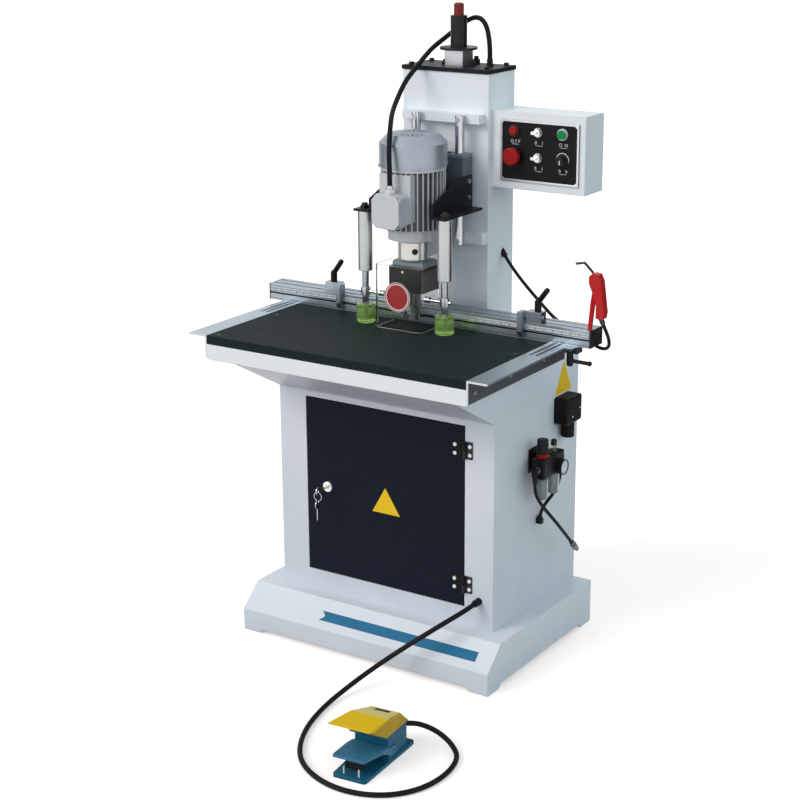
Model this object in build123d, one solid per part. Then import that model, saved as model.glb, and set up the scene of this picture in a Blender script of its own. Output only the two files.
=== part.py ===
from build123d import *
import math
import os

os.makedirs("parts", exist_ok=True)

# Hinge boring machine, in millimetres: X runs right, Y back and Z up from the plinth's centre on the floor.

# Base, cabinet and door
PLINTH_WIDTH = 780.0
PLINTH_DEPTH = 562.0
PLINTH_HEIGHT = 121.0
PLINTH_BAND = 61.0
PLINTH_SLOPE_RUN = 65.0
FOOT_LENGTH = 55.0
FOOT_HEIGHT = 12.0
SHEET = 4.0
CABINET_WIDTH = 670.0
CABINET_SETBACK = 118.0
CABINET_HEIGHT = 719.0
APRON_REACH = 218.0
APRON_START = 157.0
APRON_LIP = 38.0
DOOR_WIDTH = 494.0
DOOR_HEIGHT = 490.8
DOOR_SILL = 53.6
DOOR_DEPTH = 20.0
DOOR_SHEET = 3.0
DOOR_GAP = 2.0
JAMB_LIP = 12.0
HINGE_RADIUS = 5.0
HINGE_PIN_RADIUS = 2.5
DOOR_LEAF = 40.0
FRAME_LEAF = 22.0
HINGE_LEAF_SHEET = 3.0
HINGE_HEIGHT = 46.0
HINGE_INSET = 62.0
LEAF_SCREW_SHARE = 0.72
LEAF_SCREW_RADIUS = 5.0
LOCK_X = -181.0
LOCK_RISE = 301.0
LOCK_RADIUS = 8.0
CAM_LENGTH = 62.0
RING_RADIUS = 12.0
RING_WIRE = 0.9
KEY_HOLE_RADIUS = 3.5
KEY_REACH = 28.0

# Table, rails and fence
TABLE_WIDTH = 782.0
TABLE_DEPTH = 535.0
TABLE_OVERHANG = 14.0
TRAY_SHEET = 3.0
TRAY_SKIRT = 41.0
BOARD_THICKNESS = 23.0
RAIL_WIDTH = 57.0
RAIL_DROP = 60.0
RAIL_THICKNESS = 5.0
RAIL_LENGTH = 480.0
SLOT_WIDTH = 8.0
SLOT_START = 275.0
FENCE_OVERHANG = 109.0
FENCE_OFFSET = 8.0
FENCE_DEPTH = 65.0
FENCE_HEIGHT = 45.0
FENCE_FRONT = 8.0
FENCE_WALL = 4.0
FENCE_CAP = 4.0
KEYWAY_WIDTH = 8.0
KEYWAY_DEPTH = 7.0
KEYWAY_SETBACK = 17.0
STOP_HEIGHT = 28.0
STOP_DEPTH = 27.0
STOP_BLOCK_NEAR = -2.0
STOP_BLOCK_FAR = 41.0
STOP_FINGER_NEAR = -19.0
STOP_FINGER_FAR = -6.0
STOP_FINGER_REACH = 17.0
STOP_FINGER_BACK = 9.0
STOP_FINGER_LIFT = 6.0
STOP_PIN_RADIUS = 4.0
STOP_LEVER = 23.0
LEFT_STOP_X = -260.0
RIGHT_STOP_X = 326.0
LEVER_HUB_RADIUS = 9.0
LEVER_HUB_HEIGHT = 24.0
LEVER_STUD_RADIUS = 4.0
LEVER_ARM_RADIUS = 7.0
LEVER_REACH = 28.0
LEVER_RISE = 57.0
CLAMP_PLATE = 6.0
CLAMP_HUB_RADIUS = 8.5
CLAMP_HUB_HEIGHT = 38.0
CLAMP_STUD_RADIUS = 4.0
GUN_REACH = 18.0
GUN_RISE = 32.0
GUN_THICKNESS = 22.0
GUN_PIN_RADIUS = 2.5

# Column, rods and feed
COLUMN_WIDTH = 262.0
COLUMN_DEPTH = 132.0
COLUMN_HEIGHT = 667.5
COLUMN_WALL = 5.0
COLUMN_GAP = 2.0
TOP_PLATE = 10.9
TOP_PLATE_OVERHANG = 3.0
PAD_THICKNESS = 25.4
PAD_INSET = 3.0
ROD_RADIUS = 12.5
ROD_SPACING = 134.0
ROD_END = 16.0
HEAD_STROKE = 65.0
BLOCK_WIDTH = 50.0
BLOCK_DEPTH = 46.0
BLOCK_HEIGHT = 155.0
BARREL_RADIUS = 32.0
BARREL_LENGTH = 162.0
BARREL_BORE = 25.0
PISTON_ROD_RADIUS = 8.0
LUG_HEIGHT = 16.0
LUG_WIDTH = 50.0
LUG_DROP = 15.0
LUG_SIDE = 22.0
TONGUE_WIDTH = 60.0
UPPER_PAD_HEIGHT = 24.0
UPPER_PAD_INSET = 13.0
LOWER_PAD_HEIGHT = 32.0
BOLT_RADIUS = 4.0
BOLT_HEAD_RADIUS = 6.5
GUSSET_SCREW_Y = 97.0
SCREW_CLEAR = 0.5
HOLD_STUD_RADIUS = 8.0
END_BLOCK = 56.0
END_BLOCK_HEIGHT = 38.6
DISC_RADIUS = 49.6
DISC_HEIGHT = 6.0
STEM_RADIUS = 10.0
TUBE_RADIUS = 22.0
TUBE_HEIGHT = 81.0
CAP_RADIUS = 13.0
CAP_HEIGHT = 32.0
CAP_CHAMFER = 4.0

# Drilling head
CUP_SETBACK = 22.5
HEAD_RISE = 94.0
GEARBOX_WIDTH = 102.0
GEARBOX_DEPTH = 85.0
GEARBOX_HEIGHT = 65.0
GEARBOX_WALL = 9.0
LID_HEIGHT = 15.0
BOSS_HEIGHT = 5.0
COLLAR_RADIUS = 42.0
COLLAR_HEIGHT = 45.0
NECK_RADIUS = 34.0
NECK_GAP = 7.0
FLANGE_RADIUS = 67.0
FLANGE_HEIGHT = 29.0
FIN_RADIUS = 84.0
FIN_HEIGHT = 160.0
FIN_COUNT = 36
FIN_WIDTH = 3.0
HOUSING_RADIUS = 72.0
HOUSING_BORE = 60.0
COWL_RADIUS = 88.0
COWL_HEIGHT = 82.0
COWL_SHOULDER = 60.0
COWL_TOP_RADIUS = 66.0
COWL_SHEET = 2.5
TERMINAL_WIDTH = 82.0
TERMINAL_DEPTH = 46.0
TERMINAL_HEIGHT = 86.0
MOTOR_PAD_HALF = 47.0
MOTOR_PAD_DROP = 12.0
SHAFT_RADIUS = 12.0
GEAR_TEETH = 16
GEAR_ROOT = 10.6
GEAR_TIP = 13.2
GEAR_TOOTH = 1.5
GEAR_WIDTH = 14.0
SIDE_SPINDLE_PITCH = 45.0
SIDE_SPINDLE_OFFSET = 9.5
SIDE_SPINDLE_RADIUS = 6.0
CHUCK_RADIUS = 14.0
SIDE_CHUCK_RADIUS = 8.0
CHUCK_HEIGHT = 39.0
CUTTER_RADIUS = 17.5
CUTTER_HEIGHT = 15.0
SIDE_BIT_RADIUS = 4.0
BIT_RISE = 16.0
GUSSET_SHEET = 6.0
GUSSET_FLANGE = 48.0
HOLD_SPACING = 244.0
HOLD_SETBACK = 43.5
HOLD_BARREL_RADIUS = 19.0
HOLD_BARREL_LENGTH = 160.0
HOLD_BORE = 14.0
HOLD_ROD_RADIUS = 9.0
HOLD_STROKE = 40.0
FOOT_PAD_RADIUS = 24.8
FOOT_PAD_HEIGHT = 49.0
GUARD_WIDTH = 144.0
GUARD_DEPTH = 87.0
GUARD_HEIGHT = 167.0
GUARD_SHEET = 4.0
GUARD_BACK = -6.0
SIGN_RADIUS = 39.0
SIGN_RISE = 88.0
SIGN_SHEET = 1.0
STUD_RISE = 83.0
STUD_RADIUS = 4.0
FOOT_SCREW_RADIUS = 5.0
ACCESS_TURN = -52.0
ACCESS_RADIUS = 8.0
ACCESS_DEPTH = 6.0
VENT_COUNT = 24
VENT_LENGTH = 34.0
VENT_WIDTH = 3.0

# Controls, air service unit and pedal
BOX_WIDTH = 273.0
BOX_DEPTH = 98.0
BOX_HEIGHT = 200.0
BOX_DROP = 291.5
BOX_SETBACK = 16.0
PANEL_WIDTH = 227.0
PANEL_HEIGHT = 158.0
PANEL_INSET = 29.0
PANEL_RISE = 21.5
PANEL_SHEET = 2.5
BEZEL_WIDTH = 5.0
PANEL_SCREW_RADIUS = 4.5
BUTTON_PITCH = 70.0
BUTTON_ROWS = 65.0
BUTTON_RADIUS = 11.5
SELECTOR_RADIUS = 8.5
CONTROL_SHIFT = -3.0
CONTROL_RISE = 19.0
BUTTON_TRAVEL = 3.0
ESTOP_RADIUS = 23.0
ESTOP_TRAVEL = 5.0
COLLAR_RING = 5.0
RING_LIP = 3.5
STEM_HOLE = 8.0
INLET_Y = 147.0
INLET_Z = 601.0
INLET_DEPTH = 40.0
INLET_WIDTH = 84.0
INLET_HEIGHT = 73.0
INLET_ROUND = 8.0
SOCKET_RADIUS = 18.0
SOCKET_LENGTH = 40.0
UNIT_WIDTH = 112.0
UNIT_DEPTH = 38.0
UNIT_HEIGHT = 52.0
UNIT_RISE = 382.0
UNIT_PITCH = 60.0
BOWL_RADIUS = 16.0
BOWL_LENGTH = 63.0
DOME_HEIGHT = 33.0
KNOB_RADIUS = 15.0
KNOB_HEIGHT = 49.0
GAUGE_RADIUS = 21.0
GAUGE_RISE = 13.0
PEDAL_X = 324.5
PEDAL_Y = -704.8
PEDAL_TURN = 5.3
PEDAL_PLATE = 8.0
PEDAL_LENGTH = 233.0
PEDAL_WIDTH = 104.0
HOUSING_WIDTH = 91.0
HOUSING_LENGTH = 90.0
HOUSING_HEIGHT = 68.0
HOOD_FRONT = -22.0
HOOD_WIDTH = 100.0
HOOD_HEIGHT = 45.0
CROWN_FRONT_WIDTH = 94.0
CROWN_BACK_WIDTH = 76.0
CROWN_BACK = 67.0
CROWN_FALL = 21.0
VISOR_TIP = -113.0
VISOR_BACK = -8.0
VISOR_TURN = -7.0
VISOR_FLARE = 5.0
TREADLE_SHEET = 4.0
TREADLE_RIM = 8.0
TREADLE_WALL = 3.0
TREADLE_NOSE_WIDTH = 82.0
TREADLE_NOSE_TOP = 60.0
TREADLE_TOP = 46.0
TREADLE_SHOULDER = -40.0
TREADLE_BLOCK_LOW = 20.0
TREADLE_BLOCK_WIDTH = 38.0
POST_HEIGHT = 18.0
TREADLE_PIVOT_Y = 18.0
TREADLE_PIVOT_Z = 28.0
TREADLE_PIN = 4.0
HOUSING_FRONT = -4.0
HOOD_SHEET = 2.5

# Cords, hoses and their glands
CORD_RADIUS = 6.5
HOSE_RADIUS = 4.5
CORD_GLAND_X = 290.0
CORD_GLAND_Z = 195.0
OUTLET_Y = 65.0
OUTLET_Z = 357.0
GUN_GLAND_Y = 218.0
GUN_GLAND_Z = 1030.0
CABLE_GLAND_X = 85.0
CABLE_GLAND_Y = 224.0
PLATE_PORT = (26.0, 254.0)
GLAND_LENGTH = 18.0
GUN_GLAND = 12.0
FITTING = 6.0
ELBOW_DROP = 8.0

# Clearances
FIT = 0.05
LOOSE = 0.3
BOLT_FIT = 0.1

# Levels and places worked out from the sizes above
CABINET_FRONT = -PLINTH_DEPTH / 2 + CABINET_SETBACK
CABINET_BACK = PLINTH_DEPTH / 2
WALL = CABINET_WIDTH / 2
DECK = PLINTH_HEIGHT + CABINET_HEIGHT
APRON_FRONT = CABINET_FRONT - APRON_REACH
TABLE_FRONT = APRON_FRONT - TABLE_OVERHANG
TABLE_BACK = TABLE_FRONT + TABLE_DEPTH
TABLE = DECK + TRAY_SHEET + BOARD_THICKNESS
DOOR_BOTTOM = PLINTH_HEIGHT + DOOR_SILL
DOOR_TOP = DOOR_BOTTOM + DOOR_HEIGHT
HINGE_X = DOOR_WIDTH / 2 + LOOSE + HINGE_PIN_RADIUS
HINGE_Y = CABINET_FRONT - HINGE_RADIUS
FENCE_TOP = TABLE + FENCE_HEIGHT
FENCE_LEFT = FENCE_OFFSET - TABLE_WIDTH / 2 - FENCE_OVERHANG
FENCE_RIGHT = FENCE_OFFSET + TABLE_WIDTH / 2 + FENCE_OVERHANG
GUN_X = FENCE_RIGHT + GUN_REACH
KEYWAY = FENCE_FRONT + KEYWAY_SETBACK
COLUMN_FRONT = TABLE_BACK + COLUMN_GAP
COLUMN_BACK = COLUMN_FRONT + COLUMN_DEPTH
COLUMN_TOP = DECK + COLUMN_HEIGHT
PAD_FRONT = COLUMN_FRONT - PAD_THICKNESS
ROD_Y = PAD_FRONT - BOLT_FIT - ROD_RADIUS
ROD_X = ROD_SPACING / 2
FEED_Y = (COLUMN_FRONT + COLUMN_BACK) / 2
SPINDLE_Y = FENCE_FRONT - CUP_SETBACK
HEAD = TABLE + HEAD_RISE
LID = HEAD + GEARBOX_HEIGHT
COLLAR = LID + LID_HEIGHT + BOSS_HEIGHT
MOTOR = COLLAR + COLLAR_HEIGHT + NECK_GAP
FINS = MOTOR + FLANGE_HEIGHT
COWL = FINS + FIN_HEIGHT
BLOCK = FINS + 24.0
BLOCK_TOP = BLOCK + BLOCK_HEIGHT
BLOCK_OUTER = ROD_X + BLOCK_WIDTH / 2
UPPER_PAD = BLOCK_TOP + HEAD_STROKE + 11.0
LOWER_PAD = BLOCK - 52.0
BRACKET = BLOCK + 15.0
LUG = BLOCK + 50.0
BIT = TABLE + BIT_RISE
CHUCK = HEAD - 4.0 - CHUCK_HEIGHT
HOLD_X = HOLD_SPACING / 2
HOLD_Y = SPINDLE_Y - HOLD_SETBACK
GUARD_FRONT = GUARD_BACK - GUARD_DEPTH
BOX_LEFT = COLUMN_WIDTH / 2
BOX_BASE = COLUMN_TOP - BOX_DROP
BOX_FRONT = COLUMN_FRONT + BOX_SETBACK
PANEL_X = BOX_LEFT + PANEL_INSET + PANEL_WIDTH / 2
PANEL_Z = BOX_BASE + PANEL_RISE + PANEL_HEIGHT / 2
UNIT_X = WALL + 40.0
UNIT_Y = 46.0
UNIT_Z = PLINTH_HEIGHT + UNIT_RISE


def box(x0, x1, y0, y1, z0, z1):
    """Block between two opposite corners."""
    return Pos((x0 + x1) / 2, (y0 + y1) / 2, (z0 + z1) / 2) * Box(x1 - x0, y1 - y0, z1 - z0)


def rod_z(x, y, z0, z1, radius):
    """Upright cylinder."""
    return Pos(x, y, (z0 + z1) / 2) * Cylinder(radius, z1 - z0)


def rod_y(x, z, y0, y1, radius):
    """Cylinder along Y."""
    return Pos(x, (y0 + y1) / 2, z) * Rot(90, 0, 0) * Cylinder(radius, y1 - y0)


def rod_x(y, z, x0, x1, radius):
    """Cylinder along X."""
    return Pos((x0 + x1) / 2, y, z) * Rot(0, 90, 0) * Cylinder(radius, x1 - x0)


def bar(start, end, radius):
    """Cylinder between two points."""
    axis = Vector(*end) - Vector(*start)
    return Part(Solid.make_cylinder(radius, axis.length, Plane(origin=start, z_dir=axis)).wrapped)


def hexagon(x, y, z0, z1, across):
    """Upright hexagonal prism, measured across its flats."""
    return Pos(x, y, z0) * extrude(RegularPolygon(across / 2, 6, major_radius=False), amount=z1 - z0)


def prism_yz(points, x0, x1):
    """Outline in Y and Z, carried from one X to another."""
    face = make_face(Polyline(*points, close=True))
    return Pos(x0, 0, 0) * extrude(Plane.YZ * face, amount=x1 - x0, dir=(1, 0, 0))


def prism_xz(points, y0, y1):
    """Outline in X and Z, carried from one Y to another."""
    face = make_face(Polyline(*points, close=True))
    return Pos(0, y0, 0) * extrude(Plane.XZ * face, amount=y1 - y0, dir=(0, 1, 0))


def prism_xy(points, z0, z1):
    """Outline in X and Y, carried from one Z to another."""
    face = make_face(Polyline(*points, close=True))
    return Pos(0, 0, z0) * extrude(face, amount=z1 - z0)


def rounded(solid, axis, radius):
    """The solid with its edges along one axis rounded."""
    return fillet(solid.edges().filter_by(axis), radius)


def save(node, *pieces):
    """Write one node as a group of separate solids."""
    solids = [solid for piece in pieces for solid in piece.solids()]
    export_step(Compound(children=solids), f"parts/{node}.step")


# Plinth: a pressed pan on four corner feet, with a sloped front above an upright band
def plinth():
    half = PLINTH_WIDTH / 2
    front = -PLINTH_DEPTH / 2
    back = PLINTH_DEPTH / 2
    slope = front + PLINTH_SLOPE_RUN
    outline = [(front, 0), (front, PLINTH_BAND), (slope, PLINTH_HEIGHT), (back, PLINTH_HEIGHT), (back, 0)]
    body = prism_yz(outline, -half, half)
    inner = [
        (front + SHEET, -1),
        (front + SHEET, PLINTH_BAND - SHEET / 2),
        (slope + SHEET / 2, PLINTH_HEIGHT - SHEET),
        (back - SHEET, PLINTH_HEIGHT - SHEET),
        (back - SHEET, -1),
    ]
    body -= prism_yz(inner, -half + SHEET, half - SHEET)
    reach_x = half - FOOT_LENGTH
    reach_y = back - FOOT_LENGTH
    arch = FOOT_HEIGHT
    arch_x = [(-reach_x, -1), (arch - reach_x, arch), (reach_x - arch, arch), (reach_x, -1)]
    body -= prism_xz(arch_x, front - 1, back + 1)
    arch_y = [(-reach_y, -1), (arch - reach_y, arch), (reach_y - arch, arch), (reach_y, -1)]
    body -= prism_yz(arch_y, -half - 1, half + 1)
    save("plinth", body)


# Cabinet: a sheet shell whose front slopes out under the table, with a jamb behind the door
def cabinet():
    base = PLINTH_HEIGHT
    bend = DECK - APRON_START
    lip = DECK - APRON_LIP
    outline = [
        (CABINET_FRONT, base),
        (CABINET_FRONT, bend),
        (APRON_FRONT, lip),
        (APRON_FRONT, DECK),
        (CABINET_BACK, DECK),
        (CABINET_BACK, base),
    ]
    inner = [
        (CABINET_FRONT + SHEET, base - 1),
        (CABINET_FRONT + SHEET, bend + SHEET / 2),
        (APRON_FRONT + SHEET, lip + SHEET / 2),
        (APRON_FRONT + SHEET, DECK - SHEET),
        (CABINET_BACK - SHEET, DECK - SHEET),
        (CABINET_BACK - SHEET, base - 1),
    ]
    body = prism_yz(outline, -WALL, WALL) - prism_yz(inner, SHEET - WALL, WALL - SHEET)
    half = DOOR_WIDTH / 2 + DOOR_GAP
    low = DOOR_BOTTOM - DOOR_GAP
    high = DOOR_TOP + DOOR_GAP
    stop = CABINET_FRONT + DOOR_DEPTH + 1
    jamb = box(-half - SHEET, half + SHEET, CABINET_FRONT, stop + SHEET, low - SHEET, high + SHEET)
    body += jamb
    body -= box(-half, half, CABINET_FRONT - 1, stop, low, high)
    clear = half - JAMB_LIP
    body -= box(-clear, clear, CABINET_FRONT - 1, stop + SHEET + 1, low + JAMB_LIP, high - JAMB_LIP)
    body -= rod_y(CORD_GLAND_X, CORD_GLAND_Z, CABINET_FRONT - 1, CABINET_FRONT + SHEET + 1, CORD_RADIUS + 2)
    body -= rod_x(OUTLET_Y, OUTLET_Z, WALL - SHEET - 1, WALL + 1, HOSE_RADIUS + 1)
    save("cabinet", body)


def hinge_levels():
    """Lower edge of each door hinge."""
    return (DOOR_BOTTOM + HINGE_INSET - HINGE_HEIGHT / 2, DOOR_TOP - HINGE_INSET - HINGE_HEIGHT / 2)


def leaf_reach(side):
    """Length of the leaf on one side of the pin: long on the door, short on the cabinet."""
    return DOOR_LEAF if side < 0 else FRAME_LEAF


def hinge_leaf(side, low, knuckle_low, knuckle_high):
    """Flat leaf to one side of the pin, with the knuckle that it carries."""
    near = HINGE_X + side * (HINGE_RADIUS + LOOSE)
    far = HINGE_X + side * leaf_reach(side)
    back = CABINET_FRONT
    leaf = box(min(near, far), max(near, far), back - HINGE_LEAF_SHEET, back, low, low + HINGE_HEIGHT)
    neck_x = sorted((HINGE_X, near))
    neck = box(*neck_x, back - HINGE_LEAF_SHEET, back, knuckle_low, knuckle_high)
    return leaf + (neck + rod_z(HINGE_X, HINGE_Y, knuckle_low, knuckle_high, HINGE_RADIUS))


def leaf_screws(side, low):
    """Two button-head screws on one leaf."""
    x = HINGE_X + side * leaf_reach(side) * LEAF_SCREW_SHARE
    face = CABINET_FRONT - HINGE_LEAF_SHEET
    levels = (low + HINGE_HEIGHT * 0.25, low + HINGE_HEIGHT * 0.75)
    return [rod_y(x, z, face - 2.5, face, LEAF_SCREW_RADIUS) for z in levels]


# Door: a pan inside the opening, with its hinge leaves, screws and lock ring
def door():
    half = DOOR_WIDTH / 2
    front = CABINET_FRONT
    pan = box(-half, half, front, front + DOOR_DEPTH, DOOR_BOTTOM, DOOR_TOP)
    pan -= box(
        DOOR_SHEET - half,
        half - DOOR_SHEET,
        front + DOOR_SHEET,
        front + DOOR_DEPTH + 1,
        DOOR_BOTTOM + DOOR_SHEET,
        DOOR_TOP - DOOR_SHEET,
    )
    lock_z = PLINTH_HEIGHT + LOCK_RISE
    bore = rod_y(LOCK_X, lock_z, front - 20, front + DOOR_DEPTH, LOCK_RADIUS + FIT)
    ring = rod_y(LOCK_X, lock_z, front - 4, front, LOCK_RADIUS + 6)
    pieces = [pan - bore, ring - bore]
    for low in hinge_levels():
        middle = low + HINGE_HEIGHT / 2
        bored = hinge_leaf(-1, low, middle + LOOSE, low + HINGE_HEIGHT)
        bored -= rod_z(HINGE_X, HINGE_Y, low - 1, low + HINGE_HEIGHT + 1, HINGE_PIN_RADIUS + FIT)
        pieces.append(bored)
        pieces.extend(leaf_screws(-1, low))
    save("door", *pieces)


# Key: lock barrel with its cam, the key in it, and the spare key on the ring
def door_key():
    z = PLINTH_HEIGHT + LOCK_RISE
    face = CABINET_FRONT - 6
    cam_front = CABINET_FRONT + DOOR_DEPTH + 1 + SHEET + LOOSE
    barrel = rod_y(LOCK_X, z, face, cam_front + 4, LOCK_RADIUS)
    cam_x = (LOCK_X - LOCK_RADIUS, LOCK_X + LOCK_RADIUS)
    cam = box(*cam_x, cam_front, cam_front + 3, z - LOCK_RADIUS, z + CAM_LENGTH)
    bow_y = face - KEY_REACH - 10
    blade = box(LOCK_X - 1, LOCK_X + 1, face - KEY_REACH, face, z - 4, z + 4)
    ring_y = bow_y - 4
    bow = rod_x(bow_y, z, LOCK_X - 1, LOCK_X + 1, 12)
    bow -= rod_x(ring_y, z, LOCK_X - 2, LOCK_X + 2, KEY_HOLE_RADIUS)
    slack = KEY_HOLE_RADIUS - RING_WIRE - LOOSE
    ring_z = z - slack - RING_RADIUS
    ring = Pos(LOCK_X, ring_y, ring_z) * Rot(90, 0, 0) * Torus(RING_RADIUS, RING_WIRE)
    hole_z = ring_z - RING_RADIUS - slack
    spare = rod_x(ring_y, hole_z - 8, LOCK_X - 1, LOCK_X + 1, 12)
    spare -= rod_x(ring_y, hole_z, LOCK_X - 2, LOCK_X + 2, KEY_HOLE_RADIUS)
    spare += box(LOCK_X - 1, LOCK_X + 1, ring_y - 4, ring_y + 4, hole_z - 52, hole_z - 18)
    save("door_key", barrel + cam + blade + bow, ring, spare)


# Table: an inverted white pan on the cabinet's deck, with the black board on it
def table():
    half = TABLE_WIDTH / 2
    top = DECK + TRAY_SHEET
    low = top - TRAY_SKIRT
    tray = box(-half, half, TABLE_FRONT, TABLE_BACK, low, top)
    tray -= box(TRAY_SHEET - half, half - TRAY_SHEET, TABLE_FRONT + TRAY_SHEET, TABLE_BACK + 1, low - 1, DECK)
    for side in (-1, 1):
        x0, x1 = sorted((side * (WALL + LOOSE), side * (half - TRAY_SHEET)))
        tray += box(x0, x1, TABLE_BACK - TRAY_SHEET, TABLE_BACK, low, DECK)
    board = box(-half, half, TABLE_FRONT, TABLE_BACK, top, TABLE)
    for x, y in table_screw_places():
        board -= rod_z(x, y, TABLE - 4, TABLE + 1, 7 + BOLT_FIT)
    save("table_tray", tray)
    save("table_top", board)


def table_screw_places():
    """Countersunk screws near the board's corners."""
    reach = TABLE_WIDTH / 2 - 22
    return [(side * reach, TABLE_FRONT + step) for side in (-1, 1) for step in (25, 272)]


# Side rails: slotted aluminium angles beside the board, flush with its face
def side_rails():
    half = TABLE_WIDTH / 2
    back = TABLE_FRONT + RAIL_LENGTH
    rails = []
    for side in (-1, 1):
        outline = [
            (side * half, TABLE),
            (side * (half + RAIL_WIDTH), TABLE),
            (side * (half + RAIL_WIDTH), TABLE - RAIL_THICKNESS),
            (side * (half + RAIL_THICKNESS), TABLE - RAIL_THICKNESS),
            (side * (half + RAIL_THICKNESS), TABLE - RAIL_DROP),
            (side * half, TABLE - RAIL_DROP),
        ]
        rail = prism_xz(outline, TABLE_FRONT, back)
        for reach in (17, 33):
            x = side * (half + reach)
            slot = box(
                x - SLOT_WIDTH / 2,
                x + SLOT_WIDTH / 2,
                TABLE_FRONT + SLOT_START,
                back - 12,
                TABLE - RAIL_THICKNESS - 1,
                TABLE + 1,
            )
            rail -= rounded(slot, Axis.Z, SLOT_WIDTH * 0.45)
        rails.append(rail)
    save("side_rails", *rails)


# Fence: an extruded rail with a keyway on top, a front groove, end caps and the clamp beside the right rail
def fence():
    back = FENCE_FRONT + FENCE_DEPTH
    left = FENCE_LEFT + FENCE_CAP
    right = FENCE_RIGHT - FENCE_CAP
    rail = box(left, right, FENCE_FRONT, back, TABLE, FENCE_TOP)
    rail -= keyway(left - 1, right + 1)
    groove_z = TABLE + 20
    rail -= box(left - 1, right + 1, FENCE_FRONT - 1, FENCE_FRONT + 3, groove_z - 2.5, groove_z + 2.5)
    rail -= box(left - 1, right + 1, back - 20, back - 14, FENCE_TOP - 3, FENCE_TOP + 1)
    chamber_top = FENCE_TOP - KEYWAY_DEPTH - FENCE_WALL - 4
    middle = FENCE_FRONT + FENCE_DEPTH * 0.55
    rail -= box(left - 1, right + 1, FENCE_FRONT + FENCE_WALL + 3, middle, TABLE + FENCE_WALL, chamber_top)
    rail -= box(left - 1, right + 1, middle + FENCE_WALL, back - FENCE_WALL, TABLE + FENCE_WALL, chamber_top)
    caps = [
        box(FENCE_LEFT, left, FENCE_FRONT, back, TABLE, FENCE_TOP) - keyway(FENCE_LEFT - 1, left + 1),
        box(right, FENCE_RIGHT, FENCE_FRONT, back, TABLE, FENCE_TOP) - keyway(right - 1, FENCE_RIGHT + 1),
    ]
    save("fence_rail", rail, *caps, fence_clamp())


def keyway(x0, x1):
    """Slot along the fence's top, wider below its mouth."""
    mouth_y = (KEYWAY - KEYWAY_WIDTH / 2, KEYWAY + KEYWAY_WIDTH / 2)
    mouth = box(x0, x1, *mouth_y, FENCE_TOP - KEYWAY_DEPTH, FENCE_TOP + 1)
    floor = FENCE_TOP - KEYWAY_DEPTH
    return mouth + box(x0, x1, KEYWAY - KEYWAY_WIDTH, KEYWAY + KEYWAY_WIDTH, floor - 4, floor)


def clamp_place():
    """Axis of the fence clamp, just outside the right rail and in front of the fence."""
    return TABLE_WIDTH / 2 + RAIL_WIDTH + CLAMP_HUB_RADIUS + 3.5, FENCE_FRONT - 16


def fence_clamp():
    """Clamp block under the fence, with a jaw under the rail's flange and the stud for its lever."""
    x, y = clamp_place()
    rail_edge = TABLE_WIDTH / 2 + RAIL_WIDTH
    block_y = (FENCE_FRONT - 5, FENCE_FRONT + 24)
    block = box(rail_edge + LOOSE, x + 14, *block_y, TABLE - 18, TABLE)
    jaw_top = TABLE - RAIL_THICKNESS - LOOSE
    block += box(rail_edge - 16, rail_edge + 1, *block_y, TABLE - 18, jaw_top)
    under = TABLE - CLAMP_PLATE
    block += box(rail_edge + LOOSE, x + 10, y - 10, FENCE_FRONT, under, TABLE)
    stud = rod_z(x, y, under - CLAMP_HUB_HEIGHT, under, CLAMP_STUD_RADIUS)
    washer = rod_z(x, y, under - 3 - CLAMP_HUB_HEIGHT, under - CLAMP_HUB_HEIGHT, CLAMP_HUB_RADIUS - 2)
    return block + (stud + washer)


# Clamp lever under the fence's right end
def fence_lever():
    x, y = clamp_place()
    top = TABLE - CLAMP_PLATE - LOOSE
    low = TABLE - CLAMP_PLATE - CLAMP_HUB_HEIGHT + LOOSE
    hub = rod_z(x, y, low, top, CLAMP_HUB_RADIUS)
    tip = (x + 50, y + 10, low + 7)
    lever = hub + bar((x, y, low + 11), tip, 5) + Pos(*tip) * Sphere(6.5)
    save("fence_lever", lever - rod_z(x, y, low - 10, top + 10, CLAMP_STUD_RADIUS + FIT))


def stop_hub(finger_x, side):
    """Axis of a stop's clamp lever, near the middle of its block."""
    return finger_x + side * STOP_LEVER, KEYWAY


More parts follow.
